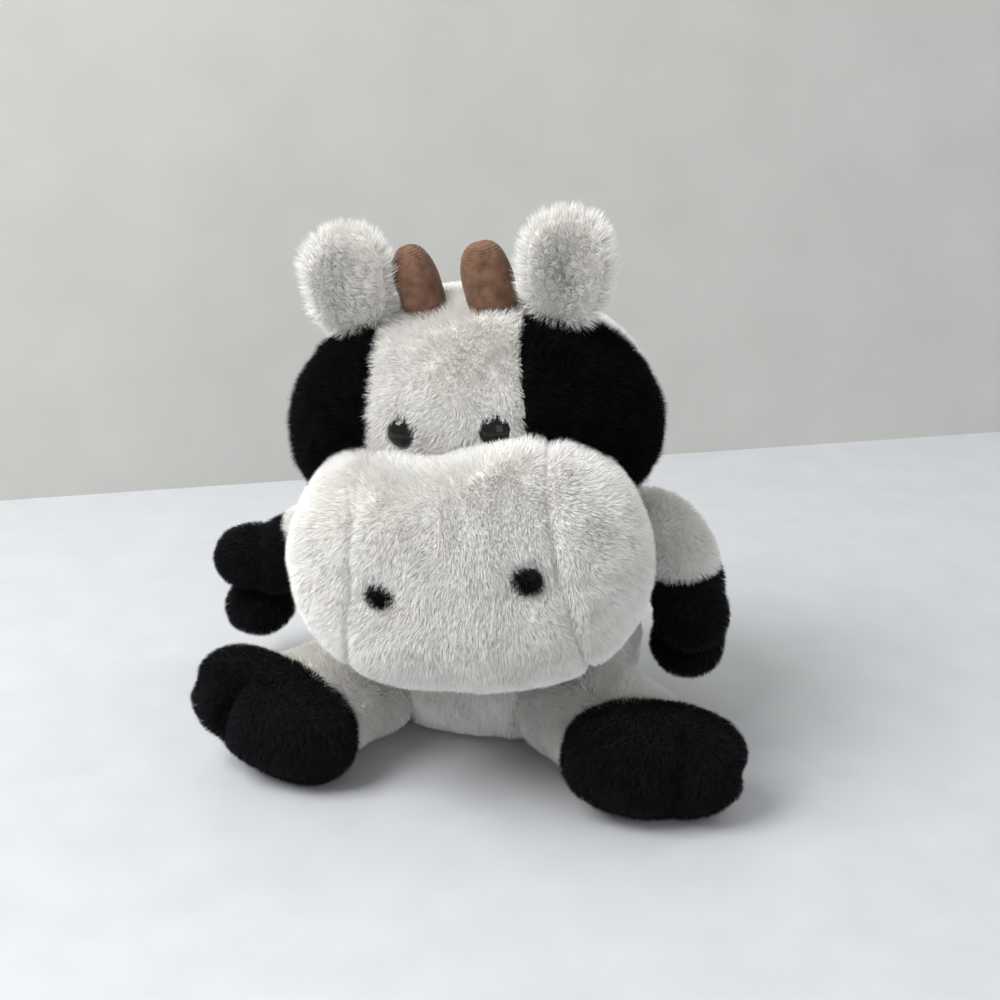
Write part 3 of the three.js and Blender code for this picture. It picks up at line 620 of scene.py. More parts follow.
@dataclass(frozen=True)
class PileFinish(Finish):
    """The colour of plush fibres, from the root to the tip, in a run of tones. Up the fibre the colour is
    painted light: a darker root is painted shade deep in the pile, and the lighter tips of the black piles
    are a painted highlight.
    """

    along: tuple[tuple[float, str], ...]
    tones: tuple[tuple[float, str], ...]
    sheen: float
    roughness: float = 0.9
    specular: float = 0.2

    def dress(self, tree: bpy.types.NodeTree, shader: bpy.types.ShaderNode) -> None:
        """Across the map run the tones, and up it the fibre, from painted shade at the root to the tip, which
        on the black piles is a painted highlight.

        Args:
            tree: The material's nodes.
            shader: The shader that they feed.
        """
        place = tree.nodes.new("ShaderNodeUVMap")
        place.uv_map = "OFBake"
        split = tree.nodes.new("ShaderNodeSeparateXYZ")
        tree.links.new(place.outputs["UV"], split.inputs["Vector"])
        both = tree.nodes.new("ShaderNodeMix")
        both.data_type, both.blend_type = "RGBA", "MULTIPLY"
        both.inputs["Factor"].default_value = 1.0
        # Up the fibre: painted shade at the root, and on black pile a painted highlight at the tip
        tree.links.new(ramp(tree, split.outputs["Y"], self.along), both.inputs["A"])
        tree.links.new(ramp(tree, split.outputs["X"], self.tones), both.inputs["B"])
        tree.links.new(both.outputs["Result"], shader.inputs["Base Color"])
        settle(shader, {"Roughness": self.roughness, "Specular IOR Level": self.specular,
                        "Sheen Weight": self.sheen, "Sheen Roughness": 0.5})


@dataclass(frozen=True)
class ClothFinish(Finish):
    """Knitted or felted cloth: one colour under a fine bump of loops."""

    code: str
    loop: float = 1.2
    depth: float = 0.5
    sheen: float = 0.2

    def dress(self, tree: bpy.types.NodeTree, shader: bpy.types.ShaderNode) -> None:
        """One dull colour with a soft sheen.

        Args:
            tree: The material's nodes.
            shader: The shader that they feed.
        """
        shader.inputs["Base Color"].default_value = colour(self.code)
        settle(shader, {"Roughness": 0.95, "Specular IOR Level": 0.2, "Sheen Weight": self.sheen})
        bump(tree, object_noise(tree, self.loop, 3), 0.6, self.depth)


@dataclass(frozen=True)
class KnitFinish(Finish):
    """The lining's fine knit: columns of loops with a soft tone to and fro, deeper in the hollows between
    them as painted shade.
    """

    pale: str = "e9e6de"
    deep: str = "b8b4aa"
    column: float = 1.3

    def dress(self, tree: bpy.types.NodeTree, shader: bpy.types.ShaderNode) -> None:
        """Waves across the piece give the columns their tone and their height; the deeper tone lies in the
        hollows as painted shade.

        Args:
            tree: The material's nodes.
            shader: The shader that they feed.
        """
        place = tree.nodes.new("ShaderNodeTexCoord")
        wave = tree.nodes.new("ShaderNodeTexWave")
        wave.bands_direction = "X"
        settle(wave, {"Scale": 1 / (self.column * MM) / 3, "Distortion": 1.5, "Detail Scale": 2.0})
        tree.links.new(place.outputs["Object"], wave.inputs["Vector"])
        # The deep end of the ramp meets the low end of the bump: painted shade in the hollows between the
        # columns
        cloth = ramp(tree, wave.outputs["Fac"], [(0.0, self.deep), (0.6, self.pale)])
        tree.links.new(cloth, shader.inputs["Base Color"])
        shader.inputs["Roughness"].default_value = 0.9
        bump(tree, wave.outputs["Fac"], 0.5, 0.4)


@dataclass(frozen=True)
class HornFinish(Finish):
    """Brushed brown cloth with a fine grain between its ribs."""

    deep: str = "4e3629"
    pale: str = "80604c"

    def dress(self, tree: bpy.types.NodeTree, shader: bpy.types.ShaderNode) -> None:
        """Fine grain on broad clouds gives the tone.

        Args:
            tree: The material's nodes.
            shader: The shader that they feed.
        """
        fine = object_noise(tree, 0.5, 2)
        mixed = tree.nodes.new("ShaderNodeMath")
        mixed.operation = "MULTIPLY_ADD"
        mixed.inputs[1].default_value = 0.5
        tree.links.new(fine, mixed.inputs[0])
        tree.links.new(object_noise(tree, 5, 4), mixed.inputs[2])
        cloth = ramp(tree, mixed.outputs["Value"], [(0.45, self.deep), (1.0, self.pale)])
        tree.links.new(cloth, shader.inputs["Base Color"])
        settle(shader, {"Roughness": 0.85, "Sheen Weight": 0.12, "Specular IOR Level": 0.2})
        bump(tree, fine, 0.5, 0.3)


@dataclass(frozen=True)
class GlossFinish(Finish):
    """Moulded plastic with the faintest unevenness."""

    code: str
    roughness: float

    def dress(self, tree: bpy.types.NodeTree, shader: bpy.types.ShaderNode) -> None:
        """One colour under a thin clear coat.

        Args:
            tree: The material's nodes.
            shader: The shader that they feed.
        """
        shader.inputs["Base Color"].default_value = colour(self.code)
        settle(shader, {"Roughness": self.roughness, "Specular IOR Level": 0.35,
                        "Coat Weight": 0.15, "Coat Roughness": 0.03})
        bump(tree, object_noise(tree, 4, 2), 0.05, 0.05)


@dataclass(frozen=True)
class StageFinish(Finish):
    """A plain surface of the stage, with clouds of two close tints."""

    tints: tuple[str, str]
    clouds: float
    detail: float
    roughness: float
    specular: float = 0.5
    one_sided: bool = False

    def dress(self, tree: bpy.types.NodeTree, shader: bpy.types.ShaderNode) -> None:
        """Clouds give the tint; a one-sided surface is clear from behind.

        Args:
            tree: The material's nodes.
            shader: The shader that they feed.
        """
        noise = object_noise(tree, self.clouds, self.detail)
        tint = ramp(tree, noise, zip((0.3, 0.7), self.tints))
        tree.links.new(tint, shader.inputs["Base Color"])
        settle(shader, {"Roughness": self.roughness, "Specular IOR Level": self.specular})
        if self.one_sided:
            facing = tree.nodes.new("ShaderNodeNewGeometry")
            clear = tree.nodes.new("ShaderNodeBsdfTransparent")
            either = tree.nodes.new("ShaderNodeMixShader")
            tree.links.new(facing.outputs["Backfacing"], either.inputs["Fac"])
            tree.links.new(shader.outputs["BSDF"], either.inputs[1])
            tree.links.new(clear.outputs["BSDF"], either.inputs[2])
            tree.links.new(either.outputs["Shader"], tree.nodes["Material Output"].inputs["Surface"])


WHITE_PILE = PileFinish(
    "white_plush_pile",
    # From root to tip: the greyer root is painted shade deep in the pile
    along=((0.0, "e8e6e2"), (0.4, "f8f7f5"), (1.0, "ffffff")),
    tones=((0.0, "f4f2ec"), (0.5, "fcfbf9"), (1.0, "ffffff")),
    sheen=0.35,
)
BLACK_PILE = PileFinish(
    "black_plush_pile",
    # From root to tip: the lighter tips are a painted highlight on the black pile
    along=((0.0, "020203"), (0.6, "08090b"), (1.0, "111319")),
    tones=((0.0, "8c8a90"), (0.6, "d0d2dc"), (1.0, "ffffff")),
    sheen=0.02,
    roughness=0.7,
    specular=0.07,
)
HOOF_PILE = PileFinish(
    "hoof_plush_pile",
    # From root to tip: the lighter tips are a painted highlight on the black pile
    along=((0.0, "030304"), (0.55, "0c0d10"), (1.0, "20222a")),
    tones=((0.0, "96887f"), (0.5, "cfd0d8"), (1.0, "ffffff")),
    sheen=0.06,
    roughness=0.65,
    specular=0.1,
)
WHITE_CLOTH = ClothFinish("white_plush_backing", "f0eeea")
BLACK_CLOTH = ClothFinish("black_plush_backing", "060607", sheen=0.02)
WADDING = ClothFinish("stuffing_wadding", "f6f5f0", loop=4.0, depth=1.5)
FELT = ClothFinish("nostril_felt_cloth", "171416", loop=0.6, depth=0.3)
KNIT = KnitFinish("lining_knit_cloth")
HORN_CLOTH = HornFinish("horn_brushed_cloth")
EYE_PLASTIC = GlossFinish("eye_gloss_plastic", "0b090b", 0.07)
WASHER_PLASTIC = GlossFinish("washer_moulded_plastic", "d8d6cf", 0.4)
TABLE = StageFinish("pale_table", ("c3c5c8", "c8cacc"), 30, 2, 0.4, 0.3)
WALL = StageFinish("pale_wall", ("c6c6c1", "ccccc7"), 60, 3, 0.9, one_sided=True)


# Pieces and their pile


@dataclass(frozen=True)
class Nap:
    """How a pile lies on its skin.

    Attributes:
        flow: Gives the way that it is brushed at each point.
        seed: Makes its growth repeatable.
        bare: Forms in which no fibre is rooted.
        scale: Gives the share of its length at each point, or None for all of it.
    """

    flow: Flow
    seed: int
    bare: tuple[Form, ...] = ()
    scale: Flow | None = None


@dataclass(frozen=True)
class Pile:
    """Plush fibres, each a narrow blade that bends over to its tip.

    Attributes:
        length: A fibre's length.
        width: Its width at the root.
        density: Fibres on a square millimetre.
        lean: How far they lean over from upright.
        uneven: The share by which lengths differ from place to place.
        tuft: The distance between two tufts.
        gather: How far the tips go towards their tuft's middle.
        swirl: How far the brushing turns aside from place to place.
        wander: The share by which the brushing wanders.
        lean_drift: How far the lean differs from place to place.
        stray: How far single fibres turn aside.
        lean_stray: How far single fibres lean more or less.
        roll: How far a blade may be turned about itself.
        waist: A blade's width at its middle, as a share of the root's.
        tones: How far the tone differs between clouds, tufts and single fibres.
        columns: Steps of tone across the map.
    """

    length: float = 5.0
    width: float = 0.24
    density: float = 4.3
    lean: float = 25.0
    uneven: float = 0.15
    tuft: float = 3.0
    gather: float = 0.2
    swirl: float = 60.0
    wander: float = 0.25
    lean_drift: float = 12.0
    stray: float = 16.0
    lean_stray: float = 8.0
    roll: float = 65.0
    waist: float = 0.8
    tones: tuple[float, float, float] = (0.22, 0.3, 0.12)
    columns: int = 64

    def roots(
        self, skin: Surface, bare: Iterable[Form], random: np.random.Generator
    ) -> tuple[np.ndarray, np.ndarray]:
        """Scatters roots evenly over a skin.

        Args:
            skin: What the fibres grow on.
            bare: Forms in which no fibre is rooted.
            random: Where the draws come from.

        Returns:
            The roots and the skin's normals there.
        """
        normals = skin.normals()
        halves = np.concatenate([skin.quads[:, [0, 1, 2]], skin.quads[:, [0, 2, 3]]])
        corners = skin.points[halves]
        sides = corners[:, 1] - corners[:, 0], corners[:, 2] - corners[:, 0]
        area = np.linalg.norm(np.cross(*sides), axis=1) / 2
        count = int(area.sum() * self.density)
        chosen = np.searchsorted(np.cumsum(area), random.random(count) * area.sum()).clip(0, len(area) - 1)
        weights = random.random((count, 2))
        over = weights.sum(1) > 1
        weights[over] = 1 - weights[over]
        weights = np.column_stack([1 - weights.sum(1), weights])
        root = (corners[chosen] * weights[:, :, None]).sum(1)
        normal = unit((normals[halves[chosen]] * weights[:, :, None]).sum(1))
        free = np.ones(count, bool)
        for form in bare:
            free &= form.depth(root) < 0
        return root[free], normal[free]

    def brushed(
        self, root: np.ndarray, normal: np.ndarray, nap: Nap, random: np.random.Generator
    ) -> tuple[np.ndarray, np.ndarray]:
        """Brushes the fibres, with swirls, and gives each its length.

        Args:
            root: The fibres' roots.
            normal: The skin's normals there.
            nap: How the pile lies.
            random: Where the draws come from.

        Returns:
            Each fibre's direction and its length.
        """
        count, seed = len(root), nap.seed
        along = nap.flow(root)
        along = along + self.wander * np.stack([lumps(root, 14, seed + k) for k in (1, 2, 3)], 1)
        along = unit(along - normal * (along * normal).sum(1, keepdims=True))
        beside = np.cross(normal, along)
        stray = random.normal(0, self.stray, count)
        turn = np.radians(self.swirl * lumps(root, 11, seed + 4) + stray)[:, None]
        along = along * np.cos(turn) + beside * np.sin(turn)
        stray = random.normal(0, self.lean_stray, count)
        tilt = np.radians(self.lean + self.lean_drift * lumps(root, 9, seed + 5) + stray)[:, None]
        way = unit(normal * np.cos(tilt) + along * np.sin(tilt))
        length = self.length * (1 + self.uneven * (lumps(root, 5, seed + 6) + random.normal(0, 0.45, count)))
        if nap.scale is not None:
            length = length * nap.scale(root)
        return way, length[:, None]

    def grow(self, skin: Surface, nap: Nap) -> tuple[np.ndarray, np.ndarray]:
        """Grows the fibres on a skin.

        Args:
            skin: What they grow on.
            nap: How they lie.

        Returns:
            For each fibre its five points, and the map's places for its seven corners.
        """
        random = np.random.default_rng(nap.seed)
        root, normal = self.roots(skin, nap.bare, random)
        way, length = self.brushed(root, normal, nap, random)
        count = len(root)
        centre = tuft_centres(root, self.tuft, nap.seed + 7)
        inwards = centre - root
        inwards -= normal * (inwards * normal).sum(1, keepdims=True)
        middle = root + 0.5 * length * unit(way + 0.45 * normal) + 0.3 * self.gather * inwards
        tip = root + length * way + self.gather * inwards
        across = unit(np.cross(way, normal) + 1e-6)
        roll = np.radians(random.uniform(-self.roll, self.roll, count))[:, None]
        across = across * np.cos(roll) + np.cross(way, across) * np.sin(roll)
        half = 0.5 * self.width * (1 + 0.25 * random.normal(0, 1, count).clip(-2, 2))[:, None] * across
        waist = self.waist * half
        points = np.stack([root - half, root + half, middle - waist, middle + waist, tip], 1)
        points[..., 2] = points[..., 2].clip(0.15, None)

        cell = np.floor(centre / self.tuft).astype(np.int64)
        clouds, tufts, fibres = self.tones
        tone = 0.5 + clouds * lumps(root, 16, nap.seed + 8) + tufts * (hashed(cell, nap.seed + 9) - 0.5)
        tone = (tone + random.normal(0, fibres, count)).clip(0, 0.999)
        column = np.floor(tone * self.columns)
        left, right = (column + 0.12) / self.columns, (column + 0.88) / self.columns
        # Up the map from root to tip; the finish paints shade at the root, and on black pile a highlight at
        # the tip
        low, level, high = [np.full(count, share) for share in (0.03, 0.5, 0.97)]
        corners = [left, low, right, low, right, level, left, level]
        corners += [left, level, right, level, (left + right) / 2, high]
        return points, np.stack(corners, 1)


def blades(name: str, points: np.ndarray, corner_map: np.ndarray) -> bpy.types.Mesh:
    """The mesh of many blades.

    Args:
        name: The mesh's name.
        points: Five points for each blade, in millimetres: two roots, two middles and a tip.
        corner_map: The map's places for the seven corners of each blade's two faces.

    Returns:
        The mesh, in metres.
    """
    count = len(points)
    data = bpy.data.meshes.new(name)
    data.vertices.add(5 * count)
    data.vertices.foreach_set("co", (points * MM).astype(np.float32).ravel())
    order = np.array([0, 1, 3, 2, 2, 3, 4])
    data.loops.add(7 * count)
    data.loops.foreach_set("vertex_index", (5 * np.arange(count)[:, None] + order).astype(np.int32).ravel())
    data.polygons.add(2 * count)
    starts = 7 * np.arange(count)[:, None] + np.array([0, 4])
    data.polygons.foreach_set("loop_start", starts.astype(np.int32).ravel())
    data.update(calc_edges=True)
    layer = data.uv_layers.new(name="OFBake")
    layer.uv.foreach_set("vector", corner_map.astype(np.float32).ravel())
    data.shade_smooth()
    return data


def add_piece(
    name: str,
    data: bpy.types.Mesh,
    material: bpy.types.Material,
    body: str,
    slot: str,
    nodes: Iterable[str] = (),
) -> bpy.types.Object:
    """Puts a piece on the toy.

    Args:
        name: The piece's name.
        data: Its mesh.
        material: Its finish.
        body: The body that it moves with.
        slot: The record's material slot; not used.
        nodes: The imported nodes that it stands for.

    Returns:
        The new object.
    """
    piece = bpy.data.objects.new(name, data)
    bpy.context.scene.collection.objects.link(piece)
    data.materials.append(material)
    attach(piece, body)
    if nodes:
        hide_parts(*nodes)
    log.info("%s: %d faces on %s", name, len(data.polygons), body)
    return piece


def add_lining(node: str, skin: Surface, body: str, flat: tuple[float, float]) -> None:
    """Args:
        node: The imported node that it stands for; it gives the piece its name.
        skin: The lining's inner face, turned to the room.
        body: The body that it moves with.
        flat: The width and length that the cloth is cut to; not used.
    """
    piece = add_piece(f"{node}_knit", skin.mesh(node), KNIT.material(), body, "lining_knit", [node])
    thick = piece.modifiers.new("thickness", "SOLIDIFY")
    thick.thickness, thick.offset = LINING_THICKNESS * MM, -1


@dataclass(frozen=True)
class Plush:
    """A plush cloth: its backing, its pile and the record's slot."""

    slot: str
    backing: ClothFinish
    finish: PileFinish
    pile: Pile

    def cover(self, node: str, body: str, skin: Surface, nap: Nap) -> None:
        """Covers a node with backing and pile.

        Args:
            node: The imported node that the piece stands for; it gives the piece its name.
            body: The body that it moves with.
            skin: The backing's surface.
            nap: How the pile lies.
        """
        skin.points[:, 2] = skin.points[:, 2].clip(0.0, None)
        name = f"{node}_cloth"
        add_piece(name, skin.mesh(name), self.backing.material(), body, self.slot, [node])
        self.cover_bare(f"{node}_pile", body, skin, nap)

    def cover_bare(self, name: str, body: str, skin: Surface, nap: Nap) -> None:
        """Grows the pile alone, in as many pieces as it takes.

        Args:
            name: The pile's name.
            body: The body that it moves with.
            skin: What it grows on.
            nap: How it lies.
        """
        grown = self.pile.grow(skin, nap)
        parts = math.ceil(len(grown[0]) / MOST_BLADES)
        for part in range(parts):
            label = name if parts == 1 else f"{name}_{part + 1}"
            mesh = blades(label, *[values[part::parts] for values in grown])
            add_piece(label, mesh, self.finish.material(), body, self.slot)


WHITE = Plush("white_plush", WHITE_CLOTH, WHITE_PILE, Pile())
BLACK = Plush("black_plush", BLACK_CLOTH, BLACK_PILE, Pile(length=5.8, density=3.2, uneven=0.24))
HOOF_PLUSH = Plush("black_plush", BLACK_CLOTH, HOOF_PILE, Pile(length=4.4, density=3.4, lean=42))
EAR_PLUSH = Plush("white_plush", WHITE_CLOTH, WHITE_PILE, Pile(length=8.0, lean=26, tuft=5, gather=0.45))
NOSTRIL_PLUSH = Plush("nostril_felt", BLACK_CLOTH, BLACK_PILE, Pile(length=2.6, density=4.0, lean=20))


def towards(direction: Direction) -> Flow:
    """Pile brushed one way all over."""
    return lambda points: np.broadcast_to(np.array(direction, float), points.shape).copy()


def evenly(share: float) -> Flow:
    """The same share of the pile's length all over."""
    return lambda points: np.full(len(points), share)


def short_inside(form: Form) -> Flow:
    """The share of the pile's length: short where a limb's root turns inside a form, full outside it."""
    return lambda points: np.where(form.depth(points) > 0, SHORT_PILE, 1.0)


def away_from(point: np.ndarray, drop: float) -> Flow:
    """Pile brushed away from a point.

    Args:
        point: Where it parts.
        drop: How much it also hangs down.

    Returns:
        The way that it is brushed at each point.
    """

    def flow(points: np.ndarray) -> np.ndarray:
        """The way that the pile is brushed at each point."""
        return unit(points - point) + np.array([0, 0, -drop])

    return flow


# The toy's frames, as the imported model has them

TOY = Place()
NECK = TOY.placed((0, 0, 119))
HEAD = NECK.placed((0, 0, 0), (0, -4, 4))
SHOULDERS = {
    Side.LEFT: TOY.placed((56, 8, 90)),
    Side.RIGHT: TOY.placed((-56, 8, 90), (0, 0, 180)),
}
LEG_YAW = {Side.LEFT: 45, Side.RIGHT: 34}
HIPS = {side: TOY.placed((side.value * 52, -44, 28.5), (0, 0, side.value * LEG_YAW[side])) for side in Side}
HEAD_SIZE = (172, 124, 112)
HEAD_CENTRE = (0, -18, 48)
HEAD_FORM = PaddedForm(HEAD_SIZE, HEAD_CENTRE, HEAD, 2.2, (0.12, 0))


@dataclass
class Muzzle:
    """The muzzle bun with its centre panel, side panels and nostrils.

    Attributes:
        size: Its width, depth and height.
        centre: Its middle in the head's frame.
        seam: How far aside of its middle each seam lies.
        seam_lean: How far the seams lean together towards the top.
        seam_width: How wide their hollow is.
        parting: The share by which the pile is shorter along the seams.
        parting_width: How wide that is.
        unevenness: How high the stuffing's lumps are.
        groove: How deep each seam is.
        nostril_spread: How far aside each nostril lies.
        nostril_rise: How far above the muzzle's middle each nostril lies.
        nostril_size: A nostril's width, height and thickness.
        nostril_shown: The width, depth and height at a nostril that have no pile.
        dimple: How deep a nostril lies.
        jowl: The share by which the muzzle is narrower at its bottom.
        brow_dip: How far its top gives way to the eyes.
        brow_width: How wide that dip is.
        brow_aside: Where the dip lies; less than nothing is to the toy's right.
    """

    size: Direction = (160, 100, 118)
    centre: Direction = (3, -75, -4)
    seam: float = 46
    seam_lean: float = 9
    seam_width: float = 3.5
    parting: float = 0.4
    parting_width: float = 1.8
    unevenness: float = 1.2
    groove: dict[Side, float] = field(default_factory=lambda: {Side.LEFT: 1.8, Side.RIGHT: 1.0})
    nostril_spread: float = 32
    nostril_rise: dict[Side, float] = field(default_factory=lambda: {Side.LEFT: 8, Side.RIGHT: 1})
    nostril_size: Direction = (13, 11, 4)
    nostril_shown: Direction = (6.0, 8, 10.5)
    dimple: float = 5
    jowl: float = 0.07
    brow_dip: float = 12
    brow_width: float = 27
    brow_aside: float = -11

    def brow(self, points: np.ndarray) -> np.ndarray:
        """How far the top gives way to the eyes: most in its middle and against the head.

        Args:
            points: Points about the muzzle's centre.

        Returns:
            One depth per point.
        """
        back = (1 + points[:, 1] / (self.size[1] / 2)).clip(0, 1)
        height = (points[:, 2] / (self.size[2] / 2)).clip(0, 1)
        return self.brow_dip * rise(points[:, 0] - self.brow_aside, self.brow_width) * back * height

    def undipped(self, points: np.ndarray) -> np.ndarray:
        """Lifts points near the dipped top back to where an even top would be."""
        points[:, 2] += self.brow(points)
        return points

    def dimpled(self, points: np.ndarray) -> np.ndarray:
        """Presses the two nostril dimples into the front, and the dip into the top.

        Args:
            points: Points about the muzzle's centre; they are changed themselves.

        Returns:
            The same points.
        """
        reaches = [
            np.hypot(points[:, 0] - side.value * self.nostril_spread, points[:, 2] - self.nostril_rise[side])
            for side in Side
        ]
        front = points[:, 1] < 0
        points[:, 1] += front * self.dimple * rise(np.minimum(*reaches), self.nostril_size[0])
        points[:, 2] -= self.brow(points)
        points[:, 0] *= 1 - self.jowl * (-points[:, 2] / (self.size[2] / 2)).clip(0, 1) ** 2
        return points

    def form(self) -> PaddedForm:
        """The muzzle's outer form."""
        return PaddedForm(self.size, self.centre, HEAD, 2.5, (0.03, 0), self.dimpled, self.undipped)

    def beside(self, points: np.ndarray, side: Side) -> np.ndarray:
        """How far points lie outside the seam on one side.

        Args:
            points: Points in the toy's frame.
            side: Which seam.

        Returns:
            One distance per point.
        """
        local = HEAD.into(points) - np.array(self.centre)
        lean = math.radians(self.seam_lean)
        return (side.value * local[:, 0] - self.seam) * math.cos(lean) + local[:, 2] * math.sin(lean)

    def build(self) -> None:
        """Makes the panels, the stuffing and the nostrils."""
        skin = self.form().surface(2.0, -ROOT_DEPTH)
        sunk = sum(self.groove[side] * rise(self.beside(skin.points, side), self.seam_width) for side in Side)
        skin = skin.moved(self.unevenness * lumps(skin.points, 24, 31) - sunk)
        middles = skin.middles()
        shown = HEAD_FORM.depth(middles) < TUCK
        sides = {side: self.beside(middles, side) > 0 for side in Side}
        centre = ~(sides[Side.LEFT] | sides[Side.RIGHT])
        nose = HEAD.out(np.array(self.centre) + np.array([0, -self.size[1] / 2, 12]))
        flow = away_from(nose, 2.2)
        bare = (HEAD_FORM, *[replace(self.nostril(side), size=self.nostril_shown) for side in Side])

        def parted(points: np.ndarray) -> np.ndarray:
            """The pile is shorter along the seams."""
            nearest = np.minimum(*[np.abs(self.beside(points, side)) for side in Side])
            return 1 - self.parting * rise(nearest, self.parting_width)

        WHITE.cover("muzzle_centre", "head", skin.kept(shown & centre), Nap(flow, 32, bare, parted))
        for side in Side:
            nap = Nap(flow, 34 + side.value, bare, parted)
            WHITE.cover(f"muzzle_side_{side.word}", "head", skin.kept(shown & sides[side]), nap)
        core = self.form().surface(5, -FILLING_DEPTH)
        add_piece("muzzle_wadding", core.mesh("muzzle_wadding"), WADDING.material(), "head", "stuffing",
                  ["muzzle_stuffing"])
        for side in Side:
            self.dress_nostril(side)

    def nostril(self, side: Side) -> PaddedForm:
        """The felt pad of one nostril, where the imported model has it.

        Args:
            side: Which nostril.

        Returns:
            The pad's form.
        """
        low, high = [np.array(corner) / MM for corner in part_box(f"nostril_{side.word}")]
        centre = HEAD.into((low + high) / 2)
        width, height, thickness = self.nostril_size
        return PaddedForm((width, thickness, height), tuple(centre), HEAD, 2.2)

    def dress_nostril(self, side: Side) -> None:
        """Makes the felt pad of one nostril, with its fibres.

        Args:
            side: Which nostril.
        """
        pad = self.nostril(side).surface(0.8)
        pad = pad.moved(0.25 * lumps(pad.points, 2.5, 37))
        name = f"nostril_{side.word}"
        add_piece(f"{name}_felt", pad.mesh(name), FELT.material(), "head", "nostril_felt", [name])
        front = pad.kept(HEAD.into(pad.middles())[:, 1] < self.nostril(side).centre[1])
        NOSTRIL_PLUSH.cover_bare(f"{name}_fibres", "head", front, Nap(towards((0, 0, -1)), 38))


@dataclass
class Head:
    """The head: its white back, the blaze, the black patches, and the eyes.

    Attributes:
        blaze_edge: How far aside each edge of the blaze lies.
        blaze_lean: How far these edges lean together towards the top.
        crown_seam: How far behind the head's middle the crown's seam lies.
        crown_lean: How far that seam leans forward towards the top.
        chin_seam: How far below the middle the chin's seam lies.
        groove: How deep the seams are.
        groove_width: How wide their hollow is.
        unevenness: How high the stuffing's lumps are.
        eye_profile: An eye's radius and height, and its stem's radius.
        stem_end: Where the stem ends; less than nothing is inside the head.
        washer: Its radius, its hole's radius, its back and its front, on the stem.
        finger: The finger pocket's radius.
        finger_end: How far above the neck's middle the pocket ends.
        pocket_from: Where it begins; less than nothing is below the neck's middle.
        pocket_flat: The width and length that its cloth is cut to.
        neck: The radius of the ball at the neck.
        neck_pile: The share of its length that pile has on that ball.
    """

    blaze_edge: dict[Side, float] = field(default_factory=lambda: {Side.LEFT: 32, Side.RIGHT: 39})
    blaze_lean: float = 5
    crown_seam: float = 15
    crown_lean: float = 22
    chin_seam: float = 38
    groove: float = 1.2
    groove_width: float = 3
    unevenness: float = 0.9
    eye_profile: tuple[float, float, float] = (7.0, 4.6, 2.0)
    stem_end: float = -10
    washer: tuple[float, float, float, float] = (8.5, 2.3, -8, -6.4)
    finger: float = 17.6
    finger_end: float = 56.6
    pocket_from: float = -18
    pocket_flat: tuple[float, float] = (111, 75)
    neck: float = 24.5
    neck_pile: float = 0.6

    def seams(self, points: np.ndarray) -> tuple[np.ndarray, np.ndarray, dict[Side, np.ndarray]]:
        """How far points lie on the face's side of each seam.

        Args:
            points: Points in the toy's frame.

        Returns:
            The distances from the crown seam, the chin seam and the two edges of the blaze.
        """
        x, y, z = (HEAD.into(points) - np.array(HEAD_CENTRE)).T
        lean, tilt = math.radians(self.crown_lean), math.radians(self.blaze_lean)
        forward = (self.crown_seam - y) * math.cos(lean) - z * math.sin(lean)
        above = z + self.chin_seam
        edges = {
            side: (side.value * x - self.blaze_edge[side]) * math.cos(tilt) + z * math.sin(tilt)
            for side in Side
        }
        return forward, above, edges

    def build(self, muzzle: Muzzle) -> None:
        """Makes the head's panels, its stuffing and the eyes.

        Args:
            muzzle: The muzzle, whose form the head's cloth stops at.
        """
        skin = HEAD_FORM.surface(2.0, -ROOT_DEPTH)
        forward, above, edges = self.seams(skin.points)
        on_face = (forward > 0) & (above > 0)
        crown = np.where(above > -self.groove_width, np.abs(forward), FAR)
        edge = np.where(on_face, np.minimum(*[np.abs(e) for e in edges.values()]), FAR)
        sunk = self.groove * rise(np.minimum(crown, edge), self.groove_width)
        skin = skin.moved(self.unevenness * lumps(skin.points, 24, 41) - sunk)
        middles = skin.middles()
        forward, above, edges = self.seams(middles)
        on_face = (forward > 0) & (above > 0)
        shown = muzzle.form().depth(middles) < TUCK
        patches = {side: on_face & (edges[side] > 0) for side in Side}
        blaze = on_face & ~patches[Side.LEFT] & ~patches[Side.RIGHT]
        face = HEAD.out(np.array(HEAD_CENTRE) - np.array([0, HEAD_SIZE[1] / 2, 0]))
        flow = away_from(face, 0.4)
        bare = (muzzle.form(), *[self.eye_room(side) for side in Side])
        WHITE.cover("head_blaze", "head", skin.kept(shown & blaze), Nap(away_from(face, 2.2), 42, bare))
        WHITE.cover("head_back", "head", skin.kept(shown & ~on_face), Nap(flow, 43, bare))
        for side in Side:
            nap = Nap(flow, 45 + side.value, bare)
            BLACK.cover(f"head_patch_{side.word}", "head", skin.kept(shown & patches[side]), nap)
        self.stuff()
        for side in Side:
            self.dress_eye(side)
        self.line_finger_pocket()

    def stuff(self) -> None:
        """Makes the filling with its ball at the neck, and the neck's short pile."""
        below = (0, 0, -40)
        dome_from = (0, 0, self.finger_end - self.finger)
        finger_way = bar(below, dome_from, self.finger + LINING_ROOM, HEAD)
        ball = Ball((0, 0, 0), self.neck, HEAD)
        core = sewn([HEAD_FORM.surface(5, -FILLING_DEPTH), ball.surface(3)], [finger_way.surface(3)], 3.0, 2)
        add_piece("head_wadding", core.mesh("head_wadding"), WADDING.material(), "head", "stuffing",
                  ["head_stuffing"])
        throat = ball.surface(2)
        throat = throat.kept(HEAD_FORM.depth(throat.middles()) < 0)
        nap = Nap(towards((0, 0, -1)), 48, (finger_way,), evenly(self.neck_pile))
        WHITE.cover_bare("head_neck_pile", "head", throat, nap)

